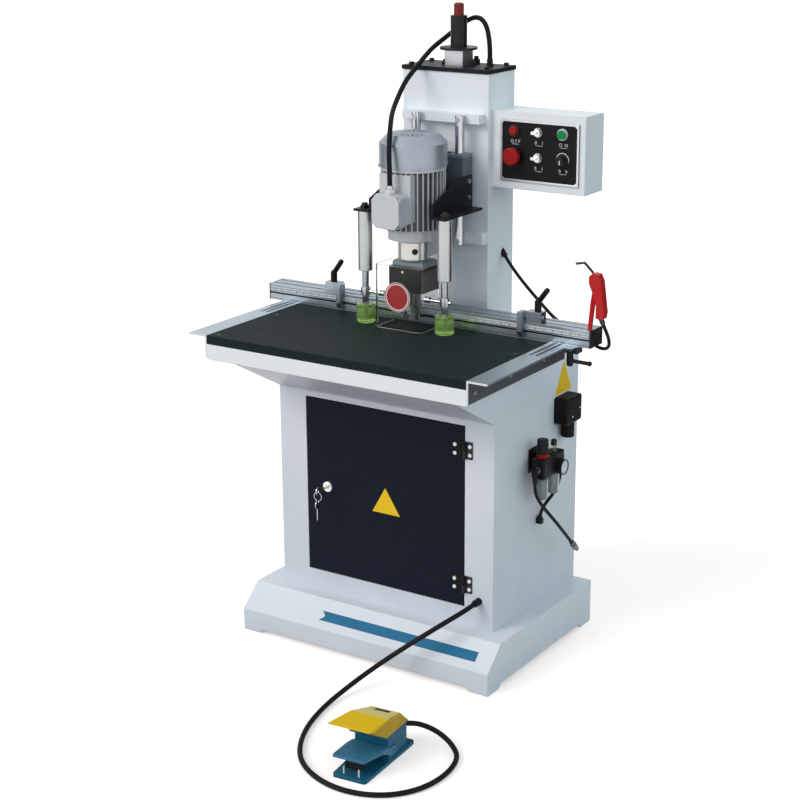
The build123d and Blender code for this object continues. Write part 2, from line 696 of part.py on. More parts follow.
# Stops: a block keyed into the fence's top, with a finger on a pin beside it that hangs in front
def stop(node, finger_x, side):
    base = FENCE_TOP + LOOSE
    top = FENCE_TOP + STOP_HEIGHT
    x0, x1 = sorted((finger_x + side * STOP_BLOCK_NEAR, finger_x + side * STOP_BLOCK_FAR))
    block = box(x0, x1, FENCE_FRONT, FENCE_FRONT + STOP_DEPTH, base, top)
    half_key = KEYWAY_WIDTH / 2 - LOOSE
    block += box(x0, x1, KEYWAY - half_key, KEYWAY + half_key, FENCE_TOP - KEYWAY_DEPTH + LOOSE, base)
    x, y = stop_hub(finger_x, side)
    block += rod_z(x, y, top, top + LEVER_HUB_HEIGHT + 4, LEVER_STUD_RADIUS)

    tip = FENCE_FRONT - STOP_FINGER_REACH
    low = TABLE + STOP_FINGER_LIFT
    outline = [
        (tip, top),
        (tip, low + 16),
        (tip + 6, low),
        (FENCE_FRONT - LOOSE, low),
        (FENCE_FRONT - LOOSE, base),
        (FENCE_FRONT + STOP_FINGER_BACK, base),
        (FENCE_FRONT + STOP_FINGER_BACK, top),
    ]
    x0, x1 = sorted((finger_x + side * STOP_FINGER_NEAR, finger_x + side * STOP_FINGER_FAR))
    finger = prism_yz(outline, x0, x1)
    x0, x1 = sorted((finger_x + side * STOP_FINGER_FAR, finger_x + side * STOP_BLOCK_NEAR))
    pin_y = FENCE_FRONT + STOP_PIN_RADIUS + 0.5
    pin = rod_x(pin_y, base + STOP_HEIGHT / 2, x0, x1, STOP_PIN_RADIUS)
    far = finger_x + side * STOP_BLOCK_FAR
    x0, x1 = sorted((far, far + side * 4))
    screw = rod_x(FENCE_FRONT + 12, base + 13, x0, x1, 6)
    save(node, block + pin + finger, screw)


# Stop levers: a hub on the block's stud with a raked handle
def stop_lever(node, finger_x, side):
    x, y = stop_hub(finger_x, side)
    low = FENCE_TOP + STOP_HEIGHT + LOOSE
    hub = rod_z(x, y, low, low + LEVER_HUB_HEIGHT, LEVER_HUB_RADIUS)
    hub += Pos(x, y, low + LEVER_HUB_HEIGHT - 2) * Sphere(LEVER_HUB_RADIUS)
    tip = (x + LEVER_REACH, y - 5, low + LEVER_RISE)
    lever = hub + bar((x, y, low + LEVER_HUB_HEIGHT - 2), tip, LEVER_ARM_RADIUS)
    lever += Pos(*tip) * Sphere(LEVER_ARM_RADIUS)
    save(node, lever - rod_z(x, y, low - 1, low + LEVER_HUB_HEIGHT + 4.5, LEVER_STUD_RADIUS + FIT))


# Blow gun: a grip with its bent nozzle, hung on the fence's end by its lever
def blow_gun():
    half = GUN_THICKNESS / 2
    x, z = GUN_X, FENCE_TOP + GUN_RISE
    outline = [
        (x - 9, z),
        (x + 11, z),
        (x + 14, z + 16),
        (x + 3, z + 96),
        (x - 5, z + 112),
        (x - 20, z + 114),
        (x - 30, z + 105),
        (x - 30, z + 88),
        (x - 14, z + 52),
        (x - 9, z + 34),
    ]
    body = prism_xz(outline, KEYWAY - half, KEYWAY + half)
    body = rounded(body, Axis.Y, 3)
    pivot = gun_pivot()
    slot = KEYWAY_WIDTH / 2
    body -= box(pivot[0] - 20, pivot[0] + 7, KEYWAY - slot, KEYWAY + slot, z + 30, z + 110)
    body += rod_y(pivot[0], pivot[1], KEYWAY - half, KEYWAY + half, GUN_PIN_RADIUS)
    bend = (x - 48, KEYWAY, z + 136)
    nozzle = bar((x - 17, KEYWAY, z + 107), bend, 3.2)
    nozzle += bar(bend, (x - 72, KEYWAY, z + 131), 3.2) + Pos(*bend) * Sphere(3.2)
    nozzle -= body
    hose_tail = gland_on(GUN_HOSE[::-1], 20, HOSE_RADIUS + 2)
    hose_tail -= box(x - 30, x + 30, KEYWAY - half, KEYWAY + half, z, z + 60)
    save("blow_gun", body, nozzle, hose_tail)


def gun_pivot():
    """Pin of the gun's lever, near the top of the grip."""
    return GUN_X - 12, FENCE_TOP + GUN_RISE + 96


# Gun lever: a bent strip beside the grip, whose end stands in the fence's keyway
def gun_lever():
    half = KEYWAY_WIDTH / 2 - LOOSE
    x, z = gun_pivot()
    foot = FENCE_TOP - KEYWAY_DEPTH + 3
    outline = [
        (x - 5, z + 6),
        (x + 4, z + 6),
        (x + 5, z - 8),
        (x - 5, z - 60),
        (x - 13, foot),
        (x - 22, foot),
        (x - 16, z - 60),
        (x - 10, z - 20),
    ]
    strip = prism_xz(outline, KEYWAY - half, KEYWAY + half)
    save("gun_lever", strip - rod_y(x, z, KEYWAY - half - 1, KEYWAY + half + 1, GUN_PIN_RADIUS + FIT))


# Column: a square tube on the deck, with the two rod pads, the lug's slot and corner lugs under its top plate
def column():
    half = COLUMN_WIDTH / 2
    wall = COLUMN_WALL
    tube = box(-half, half, COLUMN_FRONT, COLUMN_BACK, DECK, COLUMN_TOP)
    tube -= box(wall - half, half - wall, COLUMN_FRONT + wall, COLUMN_BACK - wall, DECK - 1, COLUMN_TOP + 1)
    slot = LUG_WIDTH / 2 + 5
    tube -= box(-slot, slot, COLUMN_FRONT - 1, COLUMN_FRONT + wall + 1, LUG - 10, lug_slot_top())
    pad_half = half - UPPER_PAD_INSET
    tube += box(-pad_half, pad_half, PAD_FRONT, COLUMN_FRONT, UPPER_PAD, UPPER_PAD + UPPER_PAD_HEIGHT)
    pad_half = half - PAD_INSET
    tube += box(-pad_half, pad_half, PAD_FRONT, COLUMN_FRONT, LOWER_PAD - LOWER_PAD_HEIGHT, LOWER_PAD)
    for x, y in top_bolt_places():
        tube += Pos(x, y, COLUMN_TOP - LUG_DROP / 2) * Box(LUG_SIDE, LUG_SIDE, LUG_DROP)
        tube -= rod_z(x, y, COLUMN_TOP - 16, COLUMN_TOP + 1, BOLT_RADIUS + BOLT_FIT)
    for side, z in rod_screw_places():
        tube -= rod_y(side * ROD_X, z, PAD_FRONT - 1, COLUMN_FRONT - 2, BOLT_RADIUS + BOLT_FIT)
    tube -= rod_x(GUN_GLAND_Y, GUN_GLAND_Z, half - wall - 1, half + 1, HOSE_RADIUS + 1)
    save("column", tube)


def lug_slot_top():
    """Upper end of the column's slot, clear of the lug with the head raised."""
    return LUG + LUG_HEIGHT + HEAD_STROKE + 19


def top_bolt_places():
    """Bolts at the corners of the column's top plate."""
    x = COLUMN_WIDTH / 2 - COLUMN_WALL - LUG_SIDE / 2
    inset = COLUMN_WALL + LUG_SIDE / 2
    return [(side * x, y) for side in (-1, 1) for y in (COLUMN_FRONT + inset, COLUMN_BACK - inset)]


def rod_screw_places():
    """Cross screws through both ends of each guide rod."""
    levels = (LOWER_PAD - 24, UPPER_PAD + 11)
    return [(side, z) for side in (-1, 1) for z in levels]


# Top plate, guide rods and the bolts of the frame
def column_top_plate():
    half = COLUMN_WIDTH / 2 + TOP_PLATE_OVERHANG
    front = COLUMN_FRONT - TOP_PLATE_OVERHANG
    back = COLUMN_BACK + TOP_PLATE_OVERHANG
    plate = box(-half, half, front, back, COLUMN_TOP, COLUMN_TOP + TOP_PLATE)
    for x, y in top_bolt_places():
        plate -= rod_z(x, y, COLUMN_TOP - 1, COLUMN_TOP + TOP_PLATE + 1, BOLT_RADIUS + BOLT_FIT)
    plate -= rod_z(CABLE_GLAND_X, CABLE_GLAND_Y, COLUMN_TOP - 1, COLUMN_TOP + TOP_PLATE + 1, CORD_RADIUS + 1)
    save("column_top_plate", plate)


def guide_rods():
    rods = []
    low = LOWER_PAD - LOWER_PAD_HEIGHT - 2
    high = UPPER_PAD + ROD_END + 7
    for side in (-1, 1):
        rod = rod_z(side * ROD_X, ROD_Y, low, high, ROD_RADIUS)
        rod = chamfer(rod.edges().filter_by(GeomType.CIRCLE), 1.5)
        for other, z in rod_screw_places():
            if other == side:
                rod -= rod_y(side * ROD_X, z, ROD_Y - 20, ROD_Y + 20, BOLT_RADIUS + BOLT_FIT)
                rod -= rod_y(side * ROD_X, z, ROD_Y - 20, ROD_Y - ROD_RADIUS + 5, BOLT_HEAD_RADIUS + BOLT_FIT)
        rods.append(rod)
    save("guide_rods", *rods)


def frame_bolts():
    bolts = []
    plate_top = COLUMN_TOP + TOP_PLATE
    for x, y in top_bolt_places():
        shank = rod_z(x, y, COLUMN_TOP - 14, plate_top, BOLT_RADIUS)
        bolts.append(hexagon(x, y, plate_top, plate_top + 7, 13) + shank)
    for side in (-1, 1):
        x = side * (END_BLOCK / 2 + 16)
        stud = rod_z(x, FEED_Y, plate_top + 8, plate_top + 13, BOLT_RADIUS)
        bolts.append(hexagon(x, FEED_Y, plate_top, plate_top + 8, 14) + stud)
    for side, z in rod_screw_places():
        head = rod_y(side * ROD_X, z, ROD_Y - ROD_RADIUS + 1, ROD_Y - ROD_RADIUS + 5, BOLT_HEAD_RADIUS)
        bolts.append(head + rod_y(side * ROD_X, z, ROD_Y - ROD_RADIUS + 5, COLUMN_FRONT - 3, BOLT_RADIUS))
    for x, y in table_screw_places():
        bolts.append(rod_z(x, y, TABLE - 4, TABLE - 0.5, 7))
    for side in (-1, 1):
        face = side * (TABLE_WIDTH / 2 + RAIL_THICKNESS)
        for step in (30, 200, 370):
            x0, x1 = sorted((face, face + side * 3))
            bolts.append(rod_x(TABLE_FRONT + step, TABLE - 36, x0, x1, 5))
    for low in hinge_levels():
        middle = low + HINGE_HEIGHT / 2
        leaf = hinge_leaf(1, low, low, middle)
        bolts.append(leaf + rod_z(HINGE_X, HINGE_Y, low, low + HINGE_HEIGHT + 2, HINGE_PIN_RADIUS))
        bolts.extend(leaf_screws(1, low))
    save("frame_bolts", *bolts)


# Feed cylinder: a barrel under the top plate and its end block above
def feed_cylinder():
    low = COLUMN_TOP - BARREL_LENGTH
    barrel = rod_z(0, FEED_Y, low, COLUMN_TOP, BARREL_RADIUS)
    barrel -= rod_z(0, FEED_Y, low + 20, COLUMN_TOP - 8, BARREL_BORE)
    barrel -= rod_z(0, FEED_Y, low - 1, low + 21, PISTON_ROD_RADIUS + FIT)
    base = COLUMN_TOP + TOP_PLATE
    half = END_BLOCK / 2
    block = box(-half, half, FEED_Y - half, FEED_Y + half, base, base + END_BLOCK_HEIGHT)
    block = rounded(block, Axis.Z, 4)
    block -= rod_z(0, FEED_Y, base + 12, base + END_BLOCK_HEIGHT + 1, STEM_RADIUS + FIT)
    save("feed_cylinder", barrel, block)


# Depth adjuster: the graduated disc, tube and cap that turn together on the end block
def depth_adjuster():
    base = COLUMN_TOP + TOP_PLATE + END_BLOCK_HEIGHT
    low = base + 2
    disc = rod_z(0, FEED_Y, low, low + DISC_HEIGHT, DISC_RADIUS)
    disc += rod_z(0, FEED_Y, base - 24, low, STEM_RADIUS)
    tube = rod_z(0, FEED_Y, low + DISC_HEIGHT, low + DISC_HEIGHT + TUBE_HEIGHT, TUBE_RADIUS)
    cap_base = low + DISC_HEIGHT + TUBE_HEIGHT
    cap = hexagon(0, FEED_Y, cap_base, cap_base + CAP_HEIGHT, 2 * CAP_RADIUS)
    cap = chamfer(cap.edges().group_by(Axis.Z)[-1], CAP_CHAMFER)
    save("depth_adjuster", disc, tube, cap)


# Carriage: two bearing blocks on the rods, the plate between them with its lug and tongue, and the piston
def carriage():
    half_block = BLOCK_WIDTH / 2
    front = ROD_Y - BLOCK_DEPTH / 2 + 1
    back = front + BLOCK_DEPTH
    pieces = []
    for side in (-1, 1):
        x = side * ROD_X
        block = box(x - half_block, x + half_block, front, back, BLOCK, BLOCK_TOP)
        block = rounded(block, Axis.Z, 3)
        block -= rod_z(x, ROD_Y, BLOCK - 1, BLOCK_TOP + 1, ROD_RADIUS + FIT)
        for z in gusset_screw_levels():
            x0, x1 = sorted((side * (ROD_X + ROD_RADIUS), side * (BLOCK_OUTER + 1)))
            block -= rod_x(GUSSET_SCREW_Y, z, x0, x1, BOLT_RADIUS + BOLT_FIT)
        pieces.append(block)
    inner = ROD_X - half_block
    plate = box(-inner, inner, front, front + 24, BLOCK + 10, BLOCK_TOP - 15)
    half_lug = LUG_WIDTH / 2
    plate += box(-half_lug, half_lug, front + 24, FEED_Y + 18, LUG, LUG + LUG_HEIGHT)
    plate += box(-TONGUE_WIDTH / 2, TONGUE_WIDTH / 2, front - 7, front, COLLAR, BLOCK + 50)
    plate -= rod_z(0, FEED_Y, LUG - 1, LUG + LUG_HEIGHT + 1, PISTON_ROD_RADIUS + BOLT_FIT)
    piston_base = COLUMN_TOP - BARREL_LENGTH + 26
    piston = rod_z(0, FEED_Y, LUG - 16, piston_base, PISTON_ROD_RADIUS)
    piston += rod_z(0, FEED_Y, piston_base, piston_base + 15, BARREL_BORE - FIT)
    lug_top = LUG + LUG_HEIGHT
    piston += hexagon(0, FEED_Y, LUG - 12, LUG, 24) + hexagon(0, FEED_Y, lug_top, lug_top + 12, 24)
    save("carriage", *pieces, plate, piston)


def gusset_screw_levels():
    """Screws that hold each gusset to its bearing block."""
    return (BRACKET + 30, BRACKET + 72)


# Head bracket: a gusset with an outward flange on each bearing block
def head_bracket():
    pieces = []
    outline = [
        (ROD_Y + 13, BRACKET),
        (ROD_Y + 13, BRACKET + 85),
        (ROD_Y - 44, BRACKET + 85),
        (HOLD_Y - 17, BRACKET + 35),
        (HOLD_Y - 17, BRACKET),
    ]
    for side in (-1, 1):
        x0, x1 = sorted((side * BLOCK_OUTER, side * (BLOCK_OUTER + GUSSET_SHEET)))
        gusset = prism_yz(outline, x0, x1)
        x0, x1 = sorted((side * BLOCK_OUTER, side * (BLOCK_OUTER + GUSSET_FLANGE)))
        gusset += box(x0, x1, HOLD_Y - 27, ROD_Y - 6, BRACKET, BRACKET + GUSSET_SHEET)
        stud_hole = HOLD_STUD_RADIUS + BOLT_FIT
        gusset -= rod_z(side * HOLD_X, HOLD_Y, BRACKET - 1, BRACKET + GUSSET_SHEET + 1, stud_hole)
        face = side * (BLOCK_OUTER + GUSSET_SHEET)
        for z in gusset_screw_levels():
            x0, x1 = sorted((side * (BLOCK_OUTER - 1), face + side))
            gusset -= rod_x(GUSSET_SCREW_Y, z, x0, x1, BOLT_RADIUS + BOLT_FIT)
            x0, x1 = sorted((side * (ROD_X + ROD_RADIUS + SCREW_CLEAR), face))
            shank = rod_x(GUSSET_SCREW_Y, z, x0, x1, BOLT_RADIUS)
            x0, x1 = sorted((face, face + side * 5))
            pieces.append(shank + rod_x(GUSSET_SCREW_Y, z, x0, x1, BOLT_HEAD_RADIUS))
        pieces.append(gusset)
    save("head_bracket", *pieces)


# Motor housing: a finned barrel with its flange, neck and terminal pad
def motor_housing():
    body = rod_z(0, SPINDLE_Y, FINS, COWL, HOUSING_RADIUS)
    blades = []
    for index in range(FIN_COUNT):
        angle = index * 360 / FIN_COUNT
        blade = Pos((HOUSING_RADIUS - 2 + FIN_RADIUS) / 2, 0, (FINS + COWL) / 2)
        blade = blade * Box(FIN_RADIUS - HOUSING_RADIUS + 2, FIN_WIDTH, FIN_HEIGHT)
        blades.append(Pos(0, SPINDLE_Y, 0) * Rot(0, 0, angle) * blade)
    body += blades
    pad_y = (terminal_back(), SPINDLE_Y - HOUSING_RADIUS * 0.7)
    body += box(-MOTOR_PAD_HALF, MOTOR_PAD_HALF, *pad_y, terminal_base() + 10, COWL - MOTOR_PAD_DROP)
    body += rod_z(0, SPINDLE_Y, COWL - 8, COWL + 6, COWL_RADIUS - COWL_SHEET - BOLT_FIT)
    body += rod_z(0, SPINDLE_Y, MOTOR, FINS, FLANGE_RADIUS)
    body += rod_z(0, SPINDLE_Y, COLLAR + 12, MOTOR, NECK_RADIUS)
    body -= rod_z(0, SPINDLE_Y, FINS + 6, COWL - 6, HOUSING_BORE)
    body -= rod_z(0, SPINDLE_Y, COLLAR, COWL + 10, SHAFT_RADIUS + FIT)
    for index in range(4):
        spoke = Pos(0, SPINDLE_Y, COWL + 3) * Rot(0, 0, 45 + 90 * index)
        body -= spoke * Pos(COWL_RADIUS - 6, 0, 0) * Rot(0, 90, 0) * Cylinder(2 + BOLT_FIT, 14)
    save("motor_housing", body)


def terminal_base():
    """Lower edge of the terminal box."""
    return FINS + 16


def terminal_back():
    """Face where the terminal box meets the motor's pad."""
    return SPINDLE_Y - FIN_RADIUS - 2.5


# Fan cowl: a cap over the fan with a ring of vent slots and its rim screws
def fan_cowl():
    top = COWL + COWL_HEIGHT
    outer = Polyline(
        (0, COWL),
        (COWL_RADIUS, COWL),
        (COWL_RADIUS, COWL + COWL_SHOULDER),
        (COWL_TOP_RADIUS, top),
        (0, top),
        close=True,
    )
    inner = Polyline(
        (0, COWL - 1),
        (COWL_RADIUS - COWL_SHEET, COWL - 1),
        (COWL_RADIUS - COWL_SHEET, COWL + COWL_SHOULDER - 1),
        (COWL_TOP_RADIUS - COWL_SHEET, top - COWL_SHEET),
        (0, top - COWL_SHEET),
        close=True,
    )
    shell = revolve(Plane.XZ * make_face(outer), Axis.Z) - revolve(Plane.XZ * make_face(inner), Axis.Z)
    vent = Pos(COWL_TOP_RADIUS * 0.62, 0, top) * Box(VENT_LENGTH, VENT_WIDTH, 12)
    slots = [Rot(0, 0, index * 360 / VENT_COUNT) * vent for index in range(VENT_COUNT)]
    shell -= slots
    pieces = []
    for index in range(4):
        spoke = Pos(0, 0, COWL + 3) * Rot(0, 0, 45 + 90 * index)
        shell -= spoke * Pos(COWL_RADIUS, 0, 0) * Rot(0, 90, 0) * Cylinder(2 + BOLT_FIT, 12)
        screw = Pos(COWL_RADIUS + 1.5, 0, 0) * Rot(0, 90, 0) * Cylinder(4, 3)
        screw += Pos(COWL_RADIUS - 5, 0, 0) * Rot(0, 90, 0) * Cylinder(2, 10)
        pieces.append(Pos(0, SPINDLE_Y, 0) * spoke * screw)
    save("fan_cowl", Pos(0, SPINDLE_Y, 0) * shell, *pieces)


# Terminal box on the motor's front, with a lid and the cable gland on top
def terminal_box():
    half = TERMINAL_WIDTH / 2
    base = terminal_base()
    top = base + TERMINAL_HEIGHT
    back = terminal_back()
    front = back - TERMINAL_DEPTH
    case = box(-half, half, front + 9, back, base, top)
    case -= box(5 - half, half - 5, front + 8, back - 5, base + 5, top - 5)
    lid = box(-half, half, front, front + 9, base, top)
    lid = chamfer(lid.edges().filter_by(Axis.Y), 14)
    gland_y = front + TERMINAL_DEPTH / 2
    gland = hexagon(0, gland_y, top, top + 12, 24) + rod_z(0, gland_y, top + 12, top + 22, 9)
    gland -= rod_z(0, gland_y, top - 1, top + 23, CORD_RADIUS - 2)
    case = chamfer(case.edges().filter_by(Axis.Y).group_by(Axis.X)[0], 8)
    case = chamfer(case.edges().filter_by(Axis.Y).group_by(Axis.X)[-1], 8)
    save("terminal_box", case, lid, gland)


def gear(teeth_turn):
    """Spur gear blank with straight teeth, turned to mesh."""
    wheel = Cylinder(GEAR_ROOT, GEAR_WIDTH)
    tooth_length = GEAR_TIP - GEAR_ROOT + 1
    tooth = Pos(GEAR_TIP - tooth_length / 2, 0, 0) * Box(tooth_length, GEAR_TOOTH, GEAR_WIDTH)
    teeth = [Rot(0, 0, teeth_turn + index * 360 / GEAR_TEETH) * tooth for index in range(GEAR_TEETH)]
    return wheel + teeth


def gear_level():
    """Middle of the gear train inside the gearbox."""
    return HEAD + GEARBOX_HEIGHT / 2


# Rotor: the motor's core and fan on one shaft, with the drive gear
def rotor():
    shaft = rod_z(0, SPINDLE_Y, LID - 4, COWL + 40, SHAFT_RADIUS)
    shaft += rod_z(0, SPINDLE_Y, CHUCK + CHUCK_HEIGHT, LID - 4, GEAR_ROOT - 2)
    shaft += Pos(0, SPINDLE_Y, gear_level()) * gear(0)
    shaft += rod_z(0, SPINDLE_Y, FINS + 20, COWL - 20, HOUSING_BORE - 3)
    hub = rod_z(0, SPINDLE_Y, COWL + 16, COWL + 36, 24)
    for index in range(6):
        blade = Pos(0, SPINDLE_Y, COWL + 26) * Rot(0, 0, index * 60) * Pos(42, 0, 0) * Box(44, 3, 18)
        hub += blade
    save("rotor", shaft + hub)


# Hinge bit: the chuck on the main spindle and the cup cutter in it
def hinge_bit():
    chuck = rod_z(0, SPINDLE_Y, CHUCK, CHUCK + CHUCK_HEIGHT, CHUCK_RADIUS)
    cutter = rod_z(0, SPINDLE_Y, BIT, BIT + CUTTER_HEIGHT, CUTTER_RADIUS)
    for turn in (0, 180):
        middle = Pos(0, SPINDLE_Y, BIT + CUTTER_HEIGHT / 2)
        gullet = middle * Rot(0, 0, turn) * Pos(CUTTER_RADIUS * 0.66, 0, 0)
        cutter -= gullet * Box(CUTTER_RADIUS * 0.72, 6, CUTTER_HEIGHT + 2)
    cutter += rod_z(0, SPINDLE_Y, BIT + CUTTER_HEIGHT, CHUCK, 8)
    cutter += Pos(0, SPINDLE_Y, BIT - 1.5) * Cone(0.3, 2, 3)
    save("hinge_bit", chuck, cutter)


# Side spindles: each turns against the drive gear and carries a screw-hole bit
def side_spindle(node, side):
    x = side * SIDE_SPINDLE_PITCH / 2
    y = SPINDLE_Y - SIDE_SPINDLE_OFFSET
    line = math.degrees(math.atan2(-SIDE_SPINDLE_OFFSET, x))
    mesh_turn = 2 * line + 180 + 180 / GEAR_TEETH
    spindle = rod_z(x, y, CHUCK + CHUCK_HEIGHT, LID - 4, SIDE_SPINDLE_RADIUS)
    spindle += Pos(x, y, gear_level()) * gear(mesh_turn)
    spindle += rod_z(x, y, CHUCK, CHUCK + CHUCK_HEIGHT, SIDE_CHUCK_RADIUS)
    bit = rod_z(x, y, BIT + 2, CHUCK, SIDE_BIT_RADIUS)
    save(node, spindle, bit)


# Gearbox: a bored case and its lid under the collar
def gearbox():
    half = GEARBOX_WIDTH / 2
    front = SPINDLE_Y - GEARBOX_DEPTH / 2 + 1
    back = front + GEARBOX_DEPTH
    wall = GEARBOX_WALL
    case = rounded(box(-half, half, front, back, HEAD, LID), Axis.Z, 4)
    case -= box(wall - half, half - wall, front + wall, back - wall, HEAD + wall, LID + 1)
    case -= rod_z(0, SPINDLE_Y, HEAD - 1, HEAD + wall + 1, GEAR_ROOT - 2 + FIT)
    lid = box(4 - half, half - 4, front + 13, back - 4, LID, LID + LID_HEIGHT)
    lid = chamfer(lid.edges().group_by(Axis.Z)[-1], 4)
    lid += box(wall - half + LOOSE, half - wall - LOOSE, front + 13, back - wall - LOOSE, LID - 6, LID)
    lid += rod_z(0, SPINDLE_Y, LID + LID_HEIGHT, COLLAR, COLLAR_RADIUS - 4)
    lid -= rod_z(0, SPINDLE_Y, LID - 7, COLLAR + 1, SHAFT_RADIUS + FIT)
    for side in (-1, 1):
        x = side * SIDE_SPINDLE_PITCH / 2
        y = SPINDLE_Y - SIDE_SPINDLE_OFFSET
        case -= rod_z(x, y, HEAD - 1, HEAD + wall + 1, SIDE_SPINDLE_RADIUS + FIT)
        lid -= rod_z(x, y, LID - 7, LID - 3, SIDE_SPINDLE_RADIUS + FIT)
    screw = rod_y(-6, LID - 12, front - 3, front, 3.5)
    save("gearbox", case, lid, screw)


# Spindle collar: clamps the motor's neck and carries it on an arm to the carriage
def spindle_collar():
    ring = rod_z(0, SPINDLE_Y, COLLAR, COLLAR + COLLAR_HEIGHT, COLLAR_RADIUS)
    tongue_front = ROD_Y - BLOCK_DEPTH / 2 + 1 - 7
    ring += box(-30, 30, SPINDLE_Y + 25, tongue_front, COLLAR, COLLAR + COLLAR_HEIGHT)
    ring -= rod_z(0, SPINDLE_Y, COLLAR + 12, COLLAR + COLLAR_HEIGHT + 1, NECK_RADIUS + FIT)
    ring -= rod_z(0, SPINDLE_Y, COLLAR - 1, COLLAR + 13, SHAFT_RADIUS + 2)
    access = Pos(0, SPINDLE_Y, COLLAR + COLLAR_HEIGHT / 2) * Rot(0, 0, ACCESS_TURN)
    ring -= access * Pos(COLLAR_RADIUS, 0, 0) * Rot(0, 90, 0) * Cylinder(ACCESS_RADIUS, ACCESS_DEPTH * 2)
    save("spindle_collar", ring)


# Hold-downs: cylinders hung under the flanges, with rods, clear feet and the guard that rides on them
def hold_down_barrels():
    pieces = []
    low = BRACKET - HOLD_BARREL_LENGTH
    for side in (-1, 1):
        x = side * HOLD_X
        barrel = rod_z(x, HOLD_Y, low, BRACKET, HOLD_BARREL_RADIUS)
        barrel = chamfer(barrel.edges().filter_by(GeomType.CIRCLE), 1.5)
        barrel -= rod_z(x, HOLD_Y, low + 12, BRACKET - 10, HOLD_BORE)
        barrel -= rod_z(x, HOLD_Y, low - 1, low + 13, HOLD_ROD_RADIUS + FIT)
        barrel += rod_z(x, HOLD_Y, BRACKET, BRACKET + GUSSET_SHEET, HOLD_STUD_RADIUS)
        nut = BRACKET + GUSSET_SHEET
        barrel += hexagon(x, HOLD_Y, nut, nut + 7, 22) + rod_z(x, HOLD_Y, nut + 7, nut + 13, HOLD_STUD_RADIUS)
        pieces.append(barrel)
    save("hold_down_barrels", *pieces)


def hold_down_rods():
    pieces = []
    foot_top = TABLE + LOOSE + FOOT_PAD_HEIGHT
    ring = TABLE + STUD_RISE
    for side in (-1, 1):
        x = side * HOLD_X
        top = BRACKET - HOLD_STROKE - 26
        rod = rod_z(x, HOLD_Y, foot_top, top, HOLD_ROD_RADIUS)
        rod += rod_z(x, HOLD_Y, top, top + 12, HOLD_BORE - FIT)
        rod += rod_z(x, HOLD_Y, foot_top - 30, foot_top, FOOT_SCREW_RADIUS)
        rod += rod_z(x, HOLD_Y, ring - 11, ring + 11, HOLD_ROD_RADIUS + 4)
        face = side * GUARD_WIDTH / 2
        x0, x1 = sorted((face - side * (GUARD_SHEET + 8), x + side * 20))
        rod += rod_x(HOLD_Y, ring, x0, x1, STUD_RADIUS)
        x0, x1 = sorted((face + side * LOOSE, face + side * 6))
        rod += rod_x(HOLD_Y, ring, x0, x1, STUD_RADIUS + 4)
        inner = face - side * (GUARD_SHEET + LOOSE)
        x0, x1 = sorted((inner, inner - side * 6))
        rod += rod_x(HOLD_Y, ring, x0, x1, STUD_RADIUS + 4)
        pieces.append(rod)
    sign = rod_y(0, TABLE + SIGN_RISE, GUARD_FRONT - SIGN_SHEET, GUARD_FRONT, SIGN_RADIUS)
    save("hold_down_rods", *pieces, sign)


def hold_down_feet():
    pieces = []
    low = TABLE + LOOSE
    for side in (-1, 1):
        x = side * HOLD_X
        foot = rod_z(x, HOLD_Y, low, low + FOOT_PAD_HEIGHT, FOOT_PAD_RADIUS)
        foot = chamfer(foot.edges().filter_by(GeomType.CIRCLE), 2)
        foot_top = low + FOOT_PAD_HEIGHT
        foot -= rod_z(x, HOLD_Y, foot_top - 30, foot_top + 1, FOOT_SCREW_RADIUS + FIT)
        pieces.append(foot)
    save("hold_down_feet", *pieces)


def drill_guard():
    half = GUARD_WIDTH / 2
    low = TABLE + LOOSE
    outer = rounded_front(half, GUARD_FRONT, GUARD_BACK, low, low + GUARD_HEIGHT, 12)
    inner_front = GUARD_FRONT + GUARD_SHEET
    top = low + GUARD_HEIGHT
    inner = rounded_front(half - GUARD_SHEET, inner_front, GUARD_BACK + 20, low - 1, top + 1, 8)
    guard = outer - inner
    guard -= rod_x(HOLD_Y, TABLE + STUD_RISE, -half - 1, half + 1, STUD_RADIUS + FIT)
    save("drill_guard", guard)


def rounded_front(half, front, back, low, high, radius):
    """Upright block with its two front edges rounded."""
    block = box(-half, half, front, back, low, high)
    return fillet(block.edges().filter_by(Axis.Z).group_by(Axis.Y)[0], radius)


# Control box: a sheet case on the column's right face, open behind its panel
def control_box():
    left = BOX_LEFT
    right = left + BOX_WIDTH
    back = BOX_FRONT + BOX_DEPTH
    case = box(left, right, BOX_FRONT, back, BOX_BASE, BOX_BASE + BOX_HEIGHT)
    case -= box(left + 2, right - 2, BOX_FRONT + 2, back - 2, BOX_BASE + 2, BOX_BASE + BOX_HEIGHT - 2)
    half_x = PANEL_WIDTH / 2 - 8
    half_z = PANEL_HEIGHT / 2 - 8
    case -= Pos(PANEL_X, BOX_FRONT + 1, PANEL_Z) * Box(2 * half_x, 4, 2 * half_z)
    save("control_box", case)


def control_places():
    """Centres of the six controls, by name."""
    upper = PANEL_Z + CONTROL_RISE + BUTTON_ROWS / 2
    lower = PANEL_Z + CONTROL_RISE - BUTTON_ROWS / 2
    left, middle, right = (PANEL_X + CONTROL_SHIFT + step * BUTTON_PITCH for step in (-1, 0, 1))
    return {
        "indicator_lamp": (left, upper),
        "selector_upper": (middle, upper),
        "start_button": (right, upper),
        "estop": (left, lower),
        "selector_lower": (middle, lower),
        "timer_knob": (right, lower),
    }


